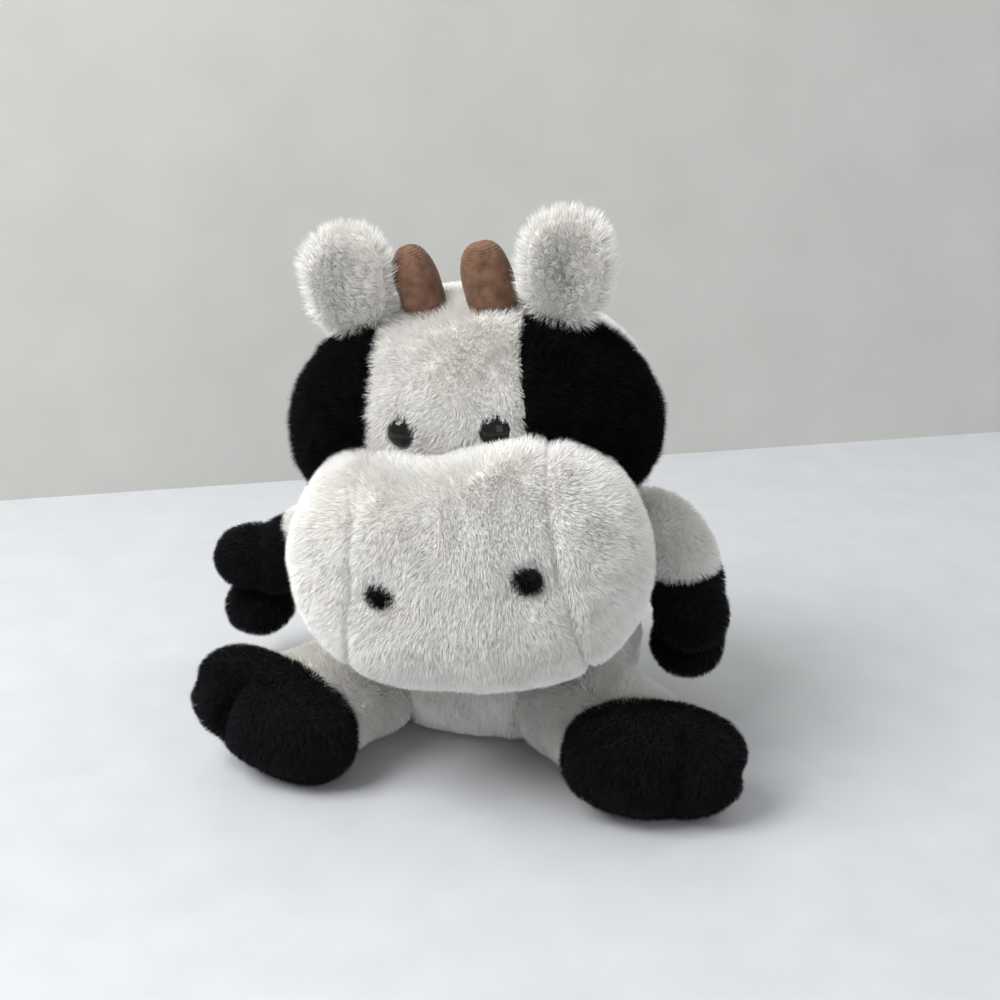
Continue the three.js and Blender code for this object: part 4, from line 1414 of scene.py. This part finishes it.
    def line_finger_pocket(self) -> None:
        """Makes the knitted pocket for the finger that turns the head."""
        arc = np.linspace(0, math.radians(88), 10)
        dome_from = self.finger_end - self.finger
        outline = [(self.finger, height) for height in np.linspace(self.pocket_from, dome_from, 16)]
        outline += [(self.finger * math.cos(a), dome_from + self.finger * math.sin(a)) for a in arc[1:]]
        pocket = facing_in(turned(outline, HEAD, 48))
        pocket = pocket.moved(0.4 * lumps(pocket.points, 9, 47))
        add_lining("head_finger_pocket", pocket, "head", self.pocket_flat)

    def eye_place(self, side: Side) -> Place:
        """The frame of an eye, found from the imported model's.

        Args:
            side: Which eye.

        Returns:
            A frame whose origin is on the face and whose Z runs out along the stem.
        """
        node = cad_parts[f"eye_{side.word}"]
        points = np.array([v.co for v in node.data.vertices]) / MM
        values, ways = np.linalg.eigh(np.cov(points.T))
        odd = np.argmax(np.abs(values - np.median(values)))
        out = ways[:, odd] * (-1 if ways[1, odd] > 0 else 1)
        middle = points.mean(0)
        apex = middle + out * ((points - middle) @ out).max()
        right = unit(np.cross(np.array([0, 0, 1.0]), out))
        return Place(apex - out * self.eye_profile[1], np.stack([right, np.cross(out, right), out], 1))

    def eye_room(self, side: Side) -> Ball:
        """The round of cloth under an eye that has no pile."""
        return Ball((0, 0, 0), self.eye_profile[0] - 0.4, self.eye_place(side))

    def dress_eye(self, side: Side) -> None:
        """Makes one glossy dome with its stem, and its washer.

        Args:
            side: Which eye.
        """
        radius, height, stem = self.eye_profile
        place = self.eye_place(side)
        arc = np.linspace(0, math.pi / 2, 14)
        dome = [(radius * math.cos(a), height * math.sin(a)) for a in arc]
        rod = [(0.05, self.stem_end), (stem, self.stem_end), (stem, -2.2)]
        outline = [*rod, (radius - 0.6, -1.7), (radius - 0.1, -0.9), *dome]
        name = f"eye_{side.word}"
        add_piece(f"{name}_dome", turned(outline, place, 48).mesh(name), EYE_PLASTIC.material(), "head",
                  "eye_plastic", [name])
        rim, bore, back, front = self.washer
        ring = [(bore, back), (rim - 0.4, back), (rim, back + 0.3), (rim, front - 0.3), (rim - 0.4, front)]
        ring += [(bore, front), (bore, back)]
        name = f"eye_washer_{side.word}"
        add_piece(f"{name}_ring", turned(ring, place, 32).mesh(name), WASHER_PLASTIC.material(), "head",
                  "washer_plastic", [name])


def turned(outline: list[tuple[float, float]], place: Place, segments: int) -> Surface:
    """A turned skin.

    Args:
        outline: Radius and height along the profile.
        place: The frame whose Z is the axis.
        segments: Faces round the axis.

    Returns:
        The skin, with its first and last ring left open.
    """
    turns = np.arange(segments) / segments * 2 * math.pi
    rings = [np.stack([r * np.cos(turns), r * np.sin(turns), np.full(segments, h)], 1) for r, h in outline]
    start = np.arange(segments)
    after = (start + 1) % segments
    quads = [np.stack([start, after, after + segments, start + segments], 1) + k * segments
             for k in range(len(outline) - 1)]
    return Surface(place.out(np.concatenate(rings)), np.concatenate(quads))


@dataclass
class Ear:
    """One ear: a leaf of long pile, hollowed at its front.

    Attributes:
        side: Which ear.
        hinge: The middle of its root seam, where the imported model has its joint.
        across: The way of that seam.
        height: How far it stands out of the head.
        hollow: How deep its front is.
        width: Its width.
        thickness: Its thickness.
        root: How far it runs on inside the head.
        cup: How far its edges bend forward.
        tuck: How deep inside the head its cloth ends.
    """

    side: Side
    hinge: Direction
    across: Direction
    height: float
    hollow: float
    width: float = 36
    thickness: float = 13
    root: float = 4
    cup: float = 5
    tuck: float = 4

    @property
    def size(self) -> Direction:
        """The leaf's width, thickness and full height with its root."""
        return self.width, self.thickness, self.height + self.root

    def place(self) -> Place:
        """The ear's own frame.

        Returns:
            A frame whose X is the hinge and whose Z runs up to the tip.
        """
        x = np.array(self.across)
        y = unit(np.cross(HEAD.direct((0, 0, 1)), x))
        return Place(np.array(self.hinge), np.stack([x, y, np.cross(x, y)], 1))

    def cupped(self, points: np.ndarray) -> np.ndarray:
        """Bends the leaf's edges forward and hollows its front.

        Args:
            points: Points about the leaf's centre; they are changed themselves.

        Returns:
            The same points.
        """
        share = points[:, 0] / (self.size[0] / 2)
        height = points[:, 2] / (self.size[2] / 2)
        points[:, 1] -= self.cup * share**2
        hollow = self.hollow * rise(share, 0.45) * rise(height + 0.1, 0.75)
        points[:, 1] += hollow * (points[:, 1] < -1)
        return points

    def build(self) -> None:
        """Makes the ear's back and lining."""
        place = self.place()
        middle = (self.size[2] - 2 * self.root) / 2
        leaf = PaddedForm(self.size, (0, 0, middle), place, 2.5, (-0.1, 0), self.cupped)
        skin = leaf.surface(1.3, -1.2)
        local = place.into(skin.middles())
        front = local[:, 1] < -self.cup * (local[:, 0] / (self.size[0] / 2)) ** 2
        shown = HEAD_FORM.depth(skin.middles()) < self.tuck
        body = f"ear_{self.side.word}"
        tip = place.direct((0, 0, 1))
        edge = place.out(np.array([0, 0, -self.size[2] * 0.35]))

        def flow(points: np.ndarray) -> np.ndarray:
            """Pile brushed outwards and up to the tip."""
            return unit(points - edge) + 0.5 * tip

        for part, keep, seed, scale in (("back", ~front, 51, None), ("lining", front, 55, evenly(0.75))):
            nap = Nap(flow, seed + self.side.value, (HEAD_FORM,), scale)
            EAR_PLUSH.cover(f"ear_{part}_{self.side.word}", body, skin.kept(shown & keep), nap)


@dataclass
class Horn:
    """One stuffed horn of ribbed brown cloth.

    Attributes:
        side: Which horn.
        spread: How far aside of the head's middle its root lies.
        lean: How far it leans to the toy's right.
        width: Its width.
        height: Its whole height, with its root.
        root: How far it runs on inside the head.
        depth: Its thickness from front to back.
        forward: How far before the head's middle its root lies.
        crown_half: Half the width over which the crown curves.
        rib: From one rib to the next.
        rib_height: Half a rib's height.
        seam_depth: How deep its seam is.
        unevenness: How high the stuffing's lumps are.
        grain: How high the cloth's lumps are.
    """

    side: Side
    spread: float
    lean: float
    width: float
    height: float = 41
    root: float = 12
    depth: float = 20
    forward: float = 15
    crown_half: float = 76
    rib: float = 1.1
    rib_height: float = 0.11
    seam_depth: float = 0.6
    unevenness: float = 0.3
    grain: float = 0.08

    def build(self) -> None:
        """Makes the horn, with its fine ribs and a seam up its side."""
        name = f"horn_{self.side.word}"
        square = HEAD_FORM.square
        aside, ahead = self.spread / self.crown_half, self.forward / (HEAD_SIZE[1] / 2)
        top = HEAD_SIZE[2] / 2 * (1 - aside**square - ahead**square) ** (1 / square)
        start = np.array(HEAD_CENTRE) + np.array([self.side.value * self.spread, -self.forward, top - 0.8])
        place = HEAD.placed(tuple(start), (0, -self.lean, 0))
        size = (self.width, self.depth, self.height)
        form = PaddedForm(size, (0, 0, (self.height - 2 * self.root) / 2), place, 2.6)
        skin = form.surface(0.42)
        local = place.into(skin.points)
        turn = np.arctan2(local[:, 1], local[:, 0])
        height = local[:, 2] + 0.6 * lumps(skin.points, 9, 60)
        ribs = self.rib_height * np.cos(2 * math.pi * height / self.rib)
        seam = rise(turn - self.side.value * 0.4, 0.07)
        uneven = self.unevenness * lumps(skin.points, 9, 61) + self.grain * lumps(skin.points, 1.0, 62)
        skin = skin.moved(ribs - self.seam_depth * seam + uneven)
        skin = skin.kept(HEAD_FORM.depth(skin.middles()) < TUCK)
        add_piece(f"{name}_cloth", skin.mesh(name), HORN_CLOTH.material(), "head", "horn_cloth", [name])


@dataclass
class Arm:
    """One arm: a stuffed sleeve on a root ball, and a cloven hoof.

    Attributes:
        side: Which arm.
        reach: How far its end lies from the shoulder.
        arch: How high its middle line is drawn up on the way.
        bend: Where on the way that is, as a share of the reach.
        drop: How far its end lies below the shoulder.
        hoof_seam: From its end back to the hoof's seam.
        hoof_lean: How far the hoof leans.
        hoof_twist: How far the hoof is turned round the arm.
        radius: The sleeve's radius.
        toe: The size of one toe of the hoof.
        split: From the middle of one toe to the other's.
        groove: How deep the hoof's seam is.
        groove_width: How wide that seam's hollow is.
        lowering: How far the arm can be lowered from its rest.
        finger: The radius of its finger pocket.
    """

    side: Side
    reach: float
    arch: float
    bend: float
    drop: float
    hoof_seam: float
    hoof_lean: float
    hoof_twist: float
    radius: float = 19
    toe: Direction = (37, 36, 31)
    split: float = 30
    groove: float = 1.2
    groove_width: float = 3
    lowering: float = 10
    finger: float = 10.6

    def line(self, steps: int = 24) -> np.ndarray:
        """The arm's middle line.

        Args:
            steps: How many points it has.

        Returns:
            Its points in the shoulder's frame.
        """
        share = np.linspace(0, 1, steps)[:, None]
        start = np.array([-self.radius / 4, 0, 0])
        turn = np.array([self.reach * self.bend, 0, self.arch])
        end = np.array([self.reach, 0, -self.drop])
        return (1 - share) ** 2 * start + 2 * share * (1 - share) * turn + share**2 * end

    def forms(self) -> tuple[Limb, Ball]:
        """The sleeve and its root ball."""
        place = SHOULDERS[self.side]
        return Limb(self.line(), self.radius, place), Ball((0, 0, 0), self.radius, place)

    def room(self) -> list[Form]:
        """What the arm's root takes out of the body.

        Returns:
            Forms from its rest down to its lowest place.
        """
        place = SHOULDERS[self.side]
        flank = self.line(11)[4]
        slope = math.atan2(flank[2], flank[0]) - math.radians(self.lowering)
        low = (flank[0], 0, flank[0] * math.tan(slope))
        radius = self.radius + LIMB_ROOM
        return [Ball((0, 0, 0), radius, place), bar((0, 0, 0), tuple(flank), radius, place),
                bar((0, 0, 0), low, radius, place)]

    def build(self, torso: PaddedForm) -> None:
        """Makes the sleeve and the hoof.

        Args:
            torso: The body's form, inside which the arm's pile is short.
        """
        place = SHOULDERS[self.side]
        sleeve, root = self.forms()
        line = self.line()
        way = unit(line[-1] - line[-2])
        seam_point = line[-1] - way * self.hoof_seam
        body = f"arm_{self.side.word}"

        def beyond(points: np.ndarray) -> np.ndarray:
            """How far points lie past the hoof's seam."""
            return (place.into(points) - seam_point) @ way

        hoof_place = place.placed(tuple(line[-1]), (self.side.value * self.hoof_twist, self.hoof_lean, 0))
        toes = [PaddedForm(self.toe, (0, 0, end * self.split / 2), hoof_place, 2.2) for end in (1, -1)]
        skin = sewn([sleeve.surface(3, -ROOT_DEPTH), root.surface(3, -ROOT_DEPTH)], [], 1.8, 4)
        seam = self.groove * rise(beyond(skin.points), self.groove_width)
        skin = skin.moved(0.8 * lumps(skin.points, 18, 71 + self.side.value) - seam)
        skin = skin.kept(beyond(skin.middles()) < 0.5)
        flow = towards(place.direct(way + np.array([0, 0, -0.3])))
        nap = Nap(flow, 72 + self.side.value, scale=short_inside(torso))
        WHITE.cover(f"arm_{self.side.word}", body, skin, nap)
        hoof = sewn([t.surface(2, -ROOT_DEPTH) for t in toes] + [sleeve.surface(3, -ROOT_DEPTH)], [], 1.5, 3)
        seam = self.groove * rise(beyond(hoof.points), self.groove_width)
        hoof = hoof.moved(0.6 * lumps(hoof.points, 14, 75 + self.side.value) - seam)
        hoof = hoof.kept(beyond(hoof.middles()) > -0.5)
        HOOF_PLUSH.cover(f"hoof_{self.side.word}", body, hoof, Nap(flow, 76 + self.side.value))

        way_in = np.concatenate([[[-self.radius, 0, 0]], self.line(21)[3:11]])
        pocket = Limb(way_in, self.finger, place).surface(1.6)
        local = place.into(pocket.middles())
        pocket = pocket.kept((local[:, 0] > 0) | (np.linalg.norm(local, axis=1) < self.radius))
        flat = (2 * math.pi * self.finger, np.linalg.norm(np.diff(way_in, axis=0), axis=1).sum())
        name = f"arm_finger_pocket_{self.side.word}"
        add_lining(name, facing_in(pocket), body, flat)


@dataclass
class Leg:
    """One leg: a stuffed thigh, and a foot with a rimmed sole and two toes.

    Attributes:
        side: Which leg.
        length: From the hip to the middle of the foot.
        foot_roll: How far the foot's top leans inwards.
        foot_yaw: How far the sole is turned aside from the front.
        valley_depth: How deep the valley across the sole is.
        valley_place: Where it lies outwards of the middle, as a share of half the width.
        radius: The thigh's radius.
        foot: The foot's width, depth and height.
        sole_depth: From the sole's front back to the foot's seam.
        groove: How deep that seam is.
        groove_width: How wide that seam's hollow is.
        cleft: How deep the cleft between the toes is.
        cleft_width: How wide that cleft is.
        tuck: How far the thigh's cloth runs on inside the foot.
        swings: The turns of the leg that the body leaves room for.
    """

    side: Side
    length: float
    foot_roll: float
    foot_yaw: float
    valley_depth: float
    valley_place: float
    radius: float = 27
    foot: Direction = (85, 42, 55)
    sole_depth: float = 9
    groove: float = 1.3
    groove_width: float = 2.5
    cleft: float = 5
    cleft_width: float = 7
    tuck: float = 3
    swings: tuple[float, ...] = (0, -37, -75)

    def room(self) -> list[Form]:
        """What the leg's swing takes out of the body.

        Returns:
            Forms from its rest down to its lowest place.
        """
        place = HIPS[self.side]
        ends = [(0, -self.length * math.cos(a), self.length * math.sin(a)) for a in np.radians(self.swings)]
        radius = self.radius + LIMB_ROOM
        return [Ball((0, 0, 0), radius, place), *[bar((0, 0, 0), end, radius, place) for end in ends]]

    def shaped(self, points: np.ndarray) -> np.ndarray:
        """Sews the valley across the sole and the cleft between the toes.

        Args:
            points: Points about the foot's centre; they are changed themselves.

        Returns:
            The same points.
        """
        toe = self.side.value * points[:, 0] / (self.foot[0] / 2)
        valley = self.valley_depth * rise(toe - self.valley_place, 0.16)
        cleft = self.cleft * rise(points[:, 2], self.cleft_width) * np.maximum(0, toe) ** 6
        points[:, 1] += (points[:, 1] < 0) * valley * np.abs(points[:, 1] / (self.foot[1] / 2))
        points[:, 0] -= self.side.value * cleft
        return points

    def build(self, torso: PaddedForm) -> None:
        """Makes the thigh and the foot.

        Args:
            torso: The body's form, inside which the leg's pile is short.
        """
        word, body, sign = self.side.word, f"leg_{self.side.word}", self.side.value
        hip = HIPS[self.side]
        angles = (0, -sign * self.foot_roll, sign * (self.foot_yaw - LEG_YAW[self.side]))
        place = hip.placed((0, -self.length, 0), angles)
        foot = PaddedForm(self.foot, (0, 0, 0), place, 2.3, bend=self.shaped)
        lift = SEAM_GAP - foot.surface(4).points[:, 2].min()
        place = hip.placed((0, -self.length, lift), angles)
        foot = replace(foot, place=place)

        skin = foot.surface(1.6, -ROOT_DEPTH)
        seam_at = self.sole_depth - self.foot[1] / 2
        seam = place.into(skin.points)[:, 1] - seam_at
        skin = skin.moved(0.6 * lumps(skin.points, 16, 81) - self.groove * rise(seam, self.groove_width))
        behind = place.into(skin.middles())[:, 1] > seam_at
        heart = place.out(np.array([0.0, self.foot[1] / 2, 0]))
        for part, keep, flow, seed in (
            ("upper", behind, away_from(heart, 0.1), 82),
            ("sole", ~behind, towards((0.2, 0, -1)), 86),
        ):
            HOOF_PLUSH.cover(f"foot_{part}_{word}", body, skin.kept(keep), Nap(flow, seed + sign))

        thigh = bar((0, 0, 0), (0, -self.length, 0), self.radius, hip)
        root = Ball((0, 0, 0), self.radius, hip)
        skin = sewn([thigh.surface(3, -ROOT_DEPTH), root.surface(3, -ROOT_DEPTH)], [], 2.0, 4)
        skin = skin.moved(lumps(skin.points, 20, 84 + sign))
        skin = skin.kept(foot.depth(skin.middles()) < self.tuck)
        nap = Nap(towards(hip.direct((0, -1, -0.3))), 90 + sign, (foot,), short_inside(torso))
        WHITE.cover(f"leg_{word}", body, skin, nap)


@dataclass
class Body:
    """The body: its skin and seat, its stuffing, and the lined room for the hand.

    Attributes:
        size: Its width, depth and height.
        taper: The share by which its top is narrower than its middle.
        height: How high its middle lies.
        seat: Below this height its cloth is the seat panel.
        palm: The size of the room for the palm.
        palm_centre: The middle of that room.
        slit: The size of the way in.
        slit_centre: The middle of the way in.
        slit_square: How square the way in is.
        hem: The hem's thickness.
        gathers: How many gathers the hem has.
        gather_depth: The share by which they thicken it.
        head_room: How far the body gives way to the head.
        muzzle_room: How far it gives way to the muzzle.
        neck_room: The radius that it leaves for the neck.
        neck_way: Where the passage through the neck starts and ends, and its radius.
        arm_way: The radius of the passage to the arms.
        lining_flat: The width and length that the hand's lining is cut to.
        band: The inner and the outer radius of the neck's band.
        band_arc: Where the band starts and ends, as turns up from the level.
    """

    size: Direction = (150, 116, 132)
    taper: float = 0.19
    height: float = 58
    seat: float = 4
    palm: Direction = (76, 44, 74)
    palm_centre: Direction = (0, 10, 51)
    slit: Direction = (80, 116, 44)
    slit_centre: Direction = (0, 68, 35)
    slit_square: float = 3.4
    hem: float = 4
    gathers: int = 72
    gather_depth: float = 0.12
    head_room: float = 7
    muzzle_room: float = 15
    neck_room: float = 32
    neck_way: tuple[float, float, float] = (66, 116, 17)
    arm_way: float = 10
    lining_flat: tuple[float, float] = (190, 110)
    band: tuple[float, float] = (26.5, 29.8)
    band_arc: tuple[float, float] = (-64, -26)

    def form(self) -> PaddedForm:
        """The body's outer form."""
        return PaddedForm(self.size, (0, 0, self.height), TOY, 2.2, (self.taper, self.taper))

    def slit_form(self, grow: float) -> PaddedForm:
        """The way in for the hand, grown all round."""
        size = tuple(side + 2 * grow for side in self.slit)
        return PaddedForm(size, self.slit_centre, TOY, self.slit_square)

    def build(self, muzzle: Muzzle, limbs: list[Arm | Leg]) -> None:
        """Makes the body's skin, seat, wadding and lining.

        Args:
            muzzle: The muzzle, which the body leaves room for.
            limbs: The arms and legs, which the body leaves room for.
        """
        torso = self.form()
        rooms = [room for limb in limbs for room in limb.room()]
        head = HEAD_FORM.grown(self.head_room)
        neck = Ball((0, 0, 0), self.neck_room, NECK)
        rooms_round = [head, muzzle.form().grown(self.muzzle_room), neck, *rooms]
        cutters = [room.surface(4) for room in rooms_round]
        skin = sewn([torso.surface(4, -ROOT_DEPTH)], cutters, 2.2, 5)
        skin = skin.moved(1.5 * lumps(skin.points, 28, 11) + 0.8 * lumps(skin.points, 12, 12))
        middles = skin.middles()
        low = middles[:, 2] < self.seat
        opening = self.slit_form(self.hem / 2).depth(middles) > 0
        opening &= middles[:, 1] > 0
        flow = towards((0, 0, -1))
        bare = (*rooms, head, neck, self.slit_form(self.hem + 1))
        WHITE.cover("body_skin", "torso", skin.kept(~low & ~opening), Nap(flow, 13, bare))
        WHITE.cover("seat_panel", "torso", skin.kept(low), Nap(flow, 14, tuple(rooms)))
        self.stuff(torso, rooms_round)
        self.line_hand_room(torso, rooms_round)
        self.sew_hem(torso)
        self.band_neck()

    def hand_room(self, grow: float) -> list[Surface]:
        """The hollow for the hand.

        Args:
            grow: How far its skins stand outside it.

        Returns:
            The skins of the palm, the slit, the neck's passage and the passage to the arms.
        """
        left, right = [tuple(SHOULDERS[side].origin) for side in Side]
        start, end, radius = self.neck_way
        return [
            PaddedForm(self.palm, self.palm_centre, TOY, 3.0).surface(3, grow),
            self.slit_form(0).surface(3, grow),
            bar((0, 0, start), (0, 0, end), radius + grow, TOY).surface(3),
            bar(right, left, self.arm_way + grow, TOY).surface(3),
        ]

    def stuff(self, torso: PaddedForm, rooms: list[Form]) -> None:
        """Makes the wads of filling round the hand's room.

        Args:
            torso: The body's outer form.
            rooms: What the body gives way to.
        """
        cutters = [room.surface(5, FILLING_DEPTH) for room in rooms]
        cutters.append(sewn(self.hand_room(LINING_ROOM), [], 2.5, 1))
        filling = sewn([torso.surface(5, -FILLING_DEPTH)], cutters, 3.0, 2)
        filling.points[:, 2] = filling.points[:, 2].clip(FILLING_DEPTH, None)
        wads = ["belly_stuffing", "seat_stuffing", "shoulder_stuffing_left", "shoulder_stuffing_right",
                "nape_stuffing", "flank_stuffing_left", "flank_stuffing_right", "back_stuffing"]
        add_piece("body_wadding", filling.mesh("body_wadding"), WADDING.material(), "torso", "stuffing",
                  wads)

    def band_neck(self) -> None:
        """Makes the band of cloth that the head turns in."""
        inner, outer = self.band
        steps = np.radians(np.linspace(*self.band_arc, 9))
        outline = [(inner * math.cos(a), inner * math.sin(a)) for a in steps[::-1]]
        outline += [(outer * math.cos(a), outer * math.sin(a)) for a in steps]
        outline.append(outline[0])
        band = facing_out(turned(outline, NECK, 64))
        band = band.moved(0.15 * lumps(band.points, 7, 17))
        add_piece("neck_band_cloth", band.mesh("neck_band"), WHITE_CLOTH.material(), "neck", "white_plush",
                  ["neck_band"])

    def line_hand_room(self, torso: PaddedForm, rooms: list[Form]) -> None:
        """Makes the knitted lining of the hand's room.

        Args:
            torso: The body's outer form.
            rooms: What the body gives way to, where the lining ends.
        """
        lining = sewn(self.hand_room(0), [], 1.8, 3)
        lining = lining.moved(0.5 * lumps(lining.points, 12, 15))
        middles = lining.middles()
        inside = torso.depth(middles) > 0
        for room in rooms:
            inside &= room.depth(middles) < 0
        add_lining("hand_lining", facing_in(lining.kept(inside)), "torso", self.lining_flat)

    def sew_hem(self, torso: PaddedForm) -> None:
        """Makes the rolled hem round the slit, with its small gathers.

        Args:
            torso: The body's outer form, which the hem lies on.
        """
        steps, spokes, square = 4, 12, self.slit_square
        count = self.gathers * steps
        turns = np.arange(count) / count * 2 * math.pi
        half = np.array([self.slit[0], self.slit[2]]) / 2 + self.hem / 2 - 0.8
        full = (np.abs(np.cos(turns)) ** square + np.abs(np.sin(turns)) ** square) ** (-1 / square)
        across, height = half[0] * full * np.cos(turns), half[1] * full * np.sin(turns)
        ring = np.stack([across, np.full(count, 90.0), self.slit_centre[2] + height], 1)
        for _ in range(60):
            out = torso.depth(ring) < -0.5
            ring[out, 1] -= 1.0
        around = unit(np.roll(ring, -1, 0) - np.roll(ring, 1, 0))
        outwards = unit(ring - np.array([0, 0, self.height]))
        beside = np.cross(around, outwards)
        way = np.arange(spokes) / spokes * 2 * math.pi
        folds = self.gather_depth * np.cos(turns * self.gathers)
        thick = self.hem / 2 * (1 + folds + 0.06 * lumps(ring, 6, 18))
        across = np.cos(way)[None, :, None] * beside[:, None]
        upwards = 0.8 * np.sin(way)[None, :, None] * outwards[:, None]
        points = ring[:, None] + thick[:, None, None] * (across + upwards)
        number = np.arange(count * spokes).reshape(count, spokes)
        following, beyond = np.roll(number, -1, 0), np.roll(number, -1, 1)
        quads = np.stack([number, following, np.roll(following, -1, 1), beyond], -1).reshape(-1, 4)
        hem = facing_out(Surface(points.reshape(-1, 3), quads))
        add_piece("opening_hem_cloth", hem.mesh("hem"), WHITE_CLOTH.material(), "torso", "white_plush",
                  ["opening_hem"])


def set_up(name: str, corners: Iterable[Direction], finish: Finish) -> None:
    """Puts one flat surface of the stage up.

    Args:
        name: Its name.
        corners: Its four corners, in millimetres.
        finish: Its finish.
    """
    data = bpy.data.meshes.new(name)
    data.from_pydata([tuple(np.array(corner) * MM) for corner in corners], [], [(0, 1, 2, 3)])
    data.materials.append(finish.material())
    surface = bpy.data.objects.new(name, data)
    bpy.context.scene.collection.objects.link(surface)


@dataclass(frozen=True)
class Stage:
    """The floor, the backdrop, the light and the camera.

    Attributes:
        azimuth: How far the camera stands aside of the toy's front.
        elevation: How far it looks down.
        distance: How far it stands from what it looks at.
        aim: The point that it looks at.
        lens: Its focal length.
        wall_at: The middle of the wall's foot.
        wall_turn: How far the wall is turned aside.
        wall_half: Half its width.
        wall_height: Its height.
        floor_half: Half the floor's width.
    """

    azimuth: float = 12
    elevation: float = 22
    distance: float = 760
    aim: Direction = (9, -13, 118)
    lens: float = 56.16
    wall_at: tuple[float, float] = (-65, 337)
    wall_turn: float = 23
    wall_half: float = 2500
    wall_height: float = 2000
    floor_half: float = 6000

    def build(self) -> None:
        """Sets up the whole stage."""
        self.lay_floor()
        self.raise_wall()
        self.hang_lights()
        self.place_camera()

    def lay_floor(self) -> None:
        """Makes a wide pale floor."""
        half = self.floor_half
        set_up("floor", [(-half, -half, 0), (half, -half, 0), (half, half, 0), (-half, half, 0)], TABLE)

    def raise_wall(self) -> None:
        """Makes the pale grey wall behind the table; only its front can be seen."""
        turn = math.radians(self.wall_turn)
        along = self.wall_half * np.array([math.cos(turn), math.sin(turn), 0])
        up = np.array([0, 0, self.wall_height])
        start, end = [np.array([*self.wall_at, 0]) + side * along for side in (-1, 1)]
        set_up("wall", [start, end, end + up, start + up], WALL)

    def hang_lights(self) -> None:
        """Hangs a soft key from the upper left, a weak fill, and lights the room evenly."""
        world = bpy.data.worlds.new("room")
        bpy.context.scene.world = world
        world.use_nodes = True
        settle(world.node_tree.nodes["Background"], {"Color": colour("f2f4f8"), "Strength": 0.55})
        lit = Vector((0, 0, 0.1))
        # Each lamp's place in metres, power in watts and width in metres
        for name, spot, power, width in (
            ("key", (-0.8, -0.6, 1.4), 30, 0.9),
            ("fill", (0.9, -1.3, 0.6), 3, 1.0),
            ("back", (0.9, 0.9, 1.1), 9, 1.0),
        ):
            lamp = bpy.data.lights.new(name, "AREA")
            lamp.energy, lamp.size = power, width
            holder = bpy.data.objects.new(name, lamp)
            holder.location = spot
            holder.rotation_euler = (lit - Vector(spot)).to_track_quat("-Z", "Y").to_euler()
            bpy.context.scene.collection.objects.link(holder)

    def place_camera(self) -> None:
        """Places the camera at the photograph's viewing angle."""
        turn, lift = math.radians(self.azimuth), math.radians(self.elevation)
        back = Vector((math.sin(turn) * math.cos(lift), -math.cos(turn) * math.cos(lift), math.sin(lift)))
        camera = bpy.data.cameras.new("camera")
        camera.lens, camera.sensor_width = self.lens, 36
        holder = bpy.data.objects.new("camera", camera)
        holder.location = (Vector(self.aim) + back * self.distance) * MM
        holder.rotation_euler = (-back).to_track_quat("-Z", "Y").to_euler()
        bpy.context.scene.collection.objects.link(holder)
        bpy.context.scene.camera = holder


def main() -> None:
    """Builds the puppet and its stage."""
    logging.basicConfig(level=logging.INFO, format="%(message)s")
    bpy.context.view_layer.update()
    bpy.context.scene.view_settings.view_transform = "Standard"
    Stage().build()
    muzzle = Muzzle()
    body = Body()
    limbs = [
        Arm(Side.LEFT, reach=46, arch=35, bend=0.9, drop=42, hoof_seam=35, hoof_lean=6, hoof_twist=36),
        Arm(Side.RIGHT, reach=72, arch=-7, bend=0.65, drop=37, hoof_seam=41, hoof_lean=4, hoof_twist=8),
        Leg(Side.LEFT, length=64, foot_roll=-6, foot_yaw=12, valley_depth=4.5, valley_place=0.22),
        Leg(Side.RIGHT, length=57, foot_roll=22, foot_yaw=8, valley_depth=8, valley_place=0.42),
    ]
    muzzle.build()
    Head().build(muzzle)
    hinge, across = (42.276, -35.137, 217.556), (0.9962, 0.0697, -0.0523)
    Ear(Side.LEFT, hinge, across, height=46, hollow=2.5).build()
    hinge, across = (-50.751, -41.642, 210.774), (0.9853, 0.0689, 0.1564)
    Ear(Side.RIGHT, hinge, across, height=43, hollow=1.0).build()
    Horn(Side.LEFT, spread=15, lean=9, width=23).build()
    Horn(Side.RIGHT, spread=16, lean=15, width=20).build()
    for limb in limbs:
        limb.build(body.form())
    body.build(muzzle, limbs)


if __name__ == "__main__":
    main()
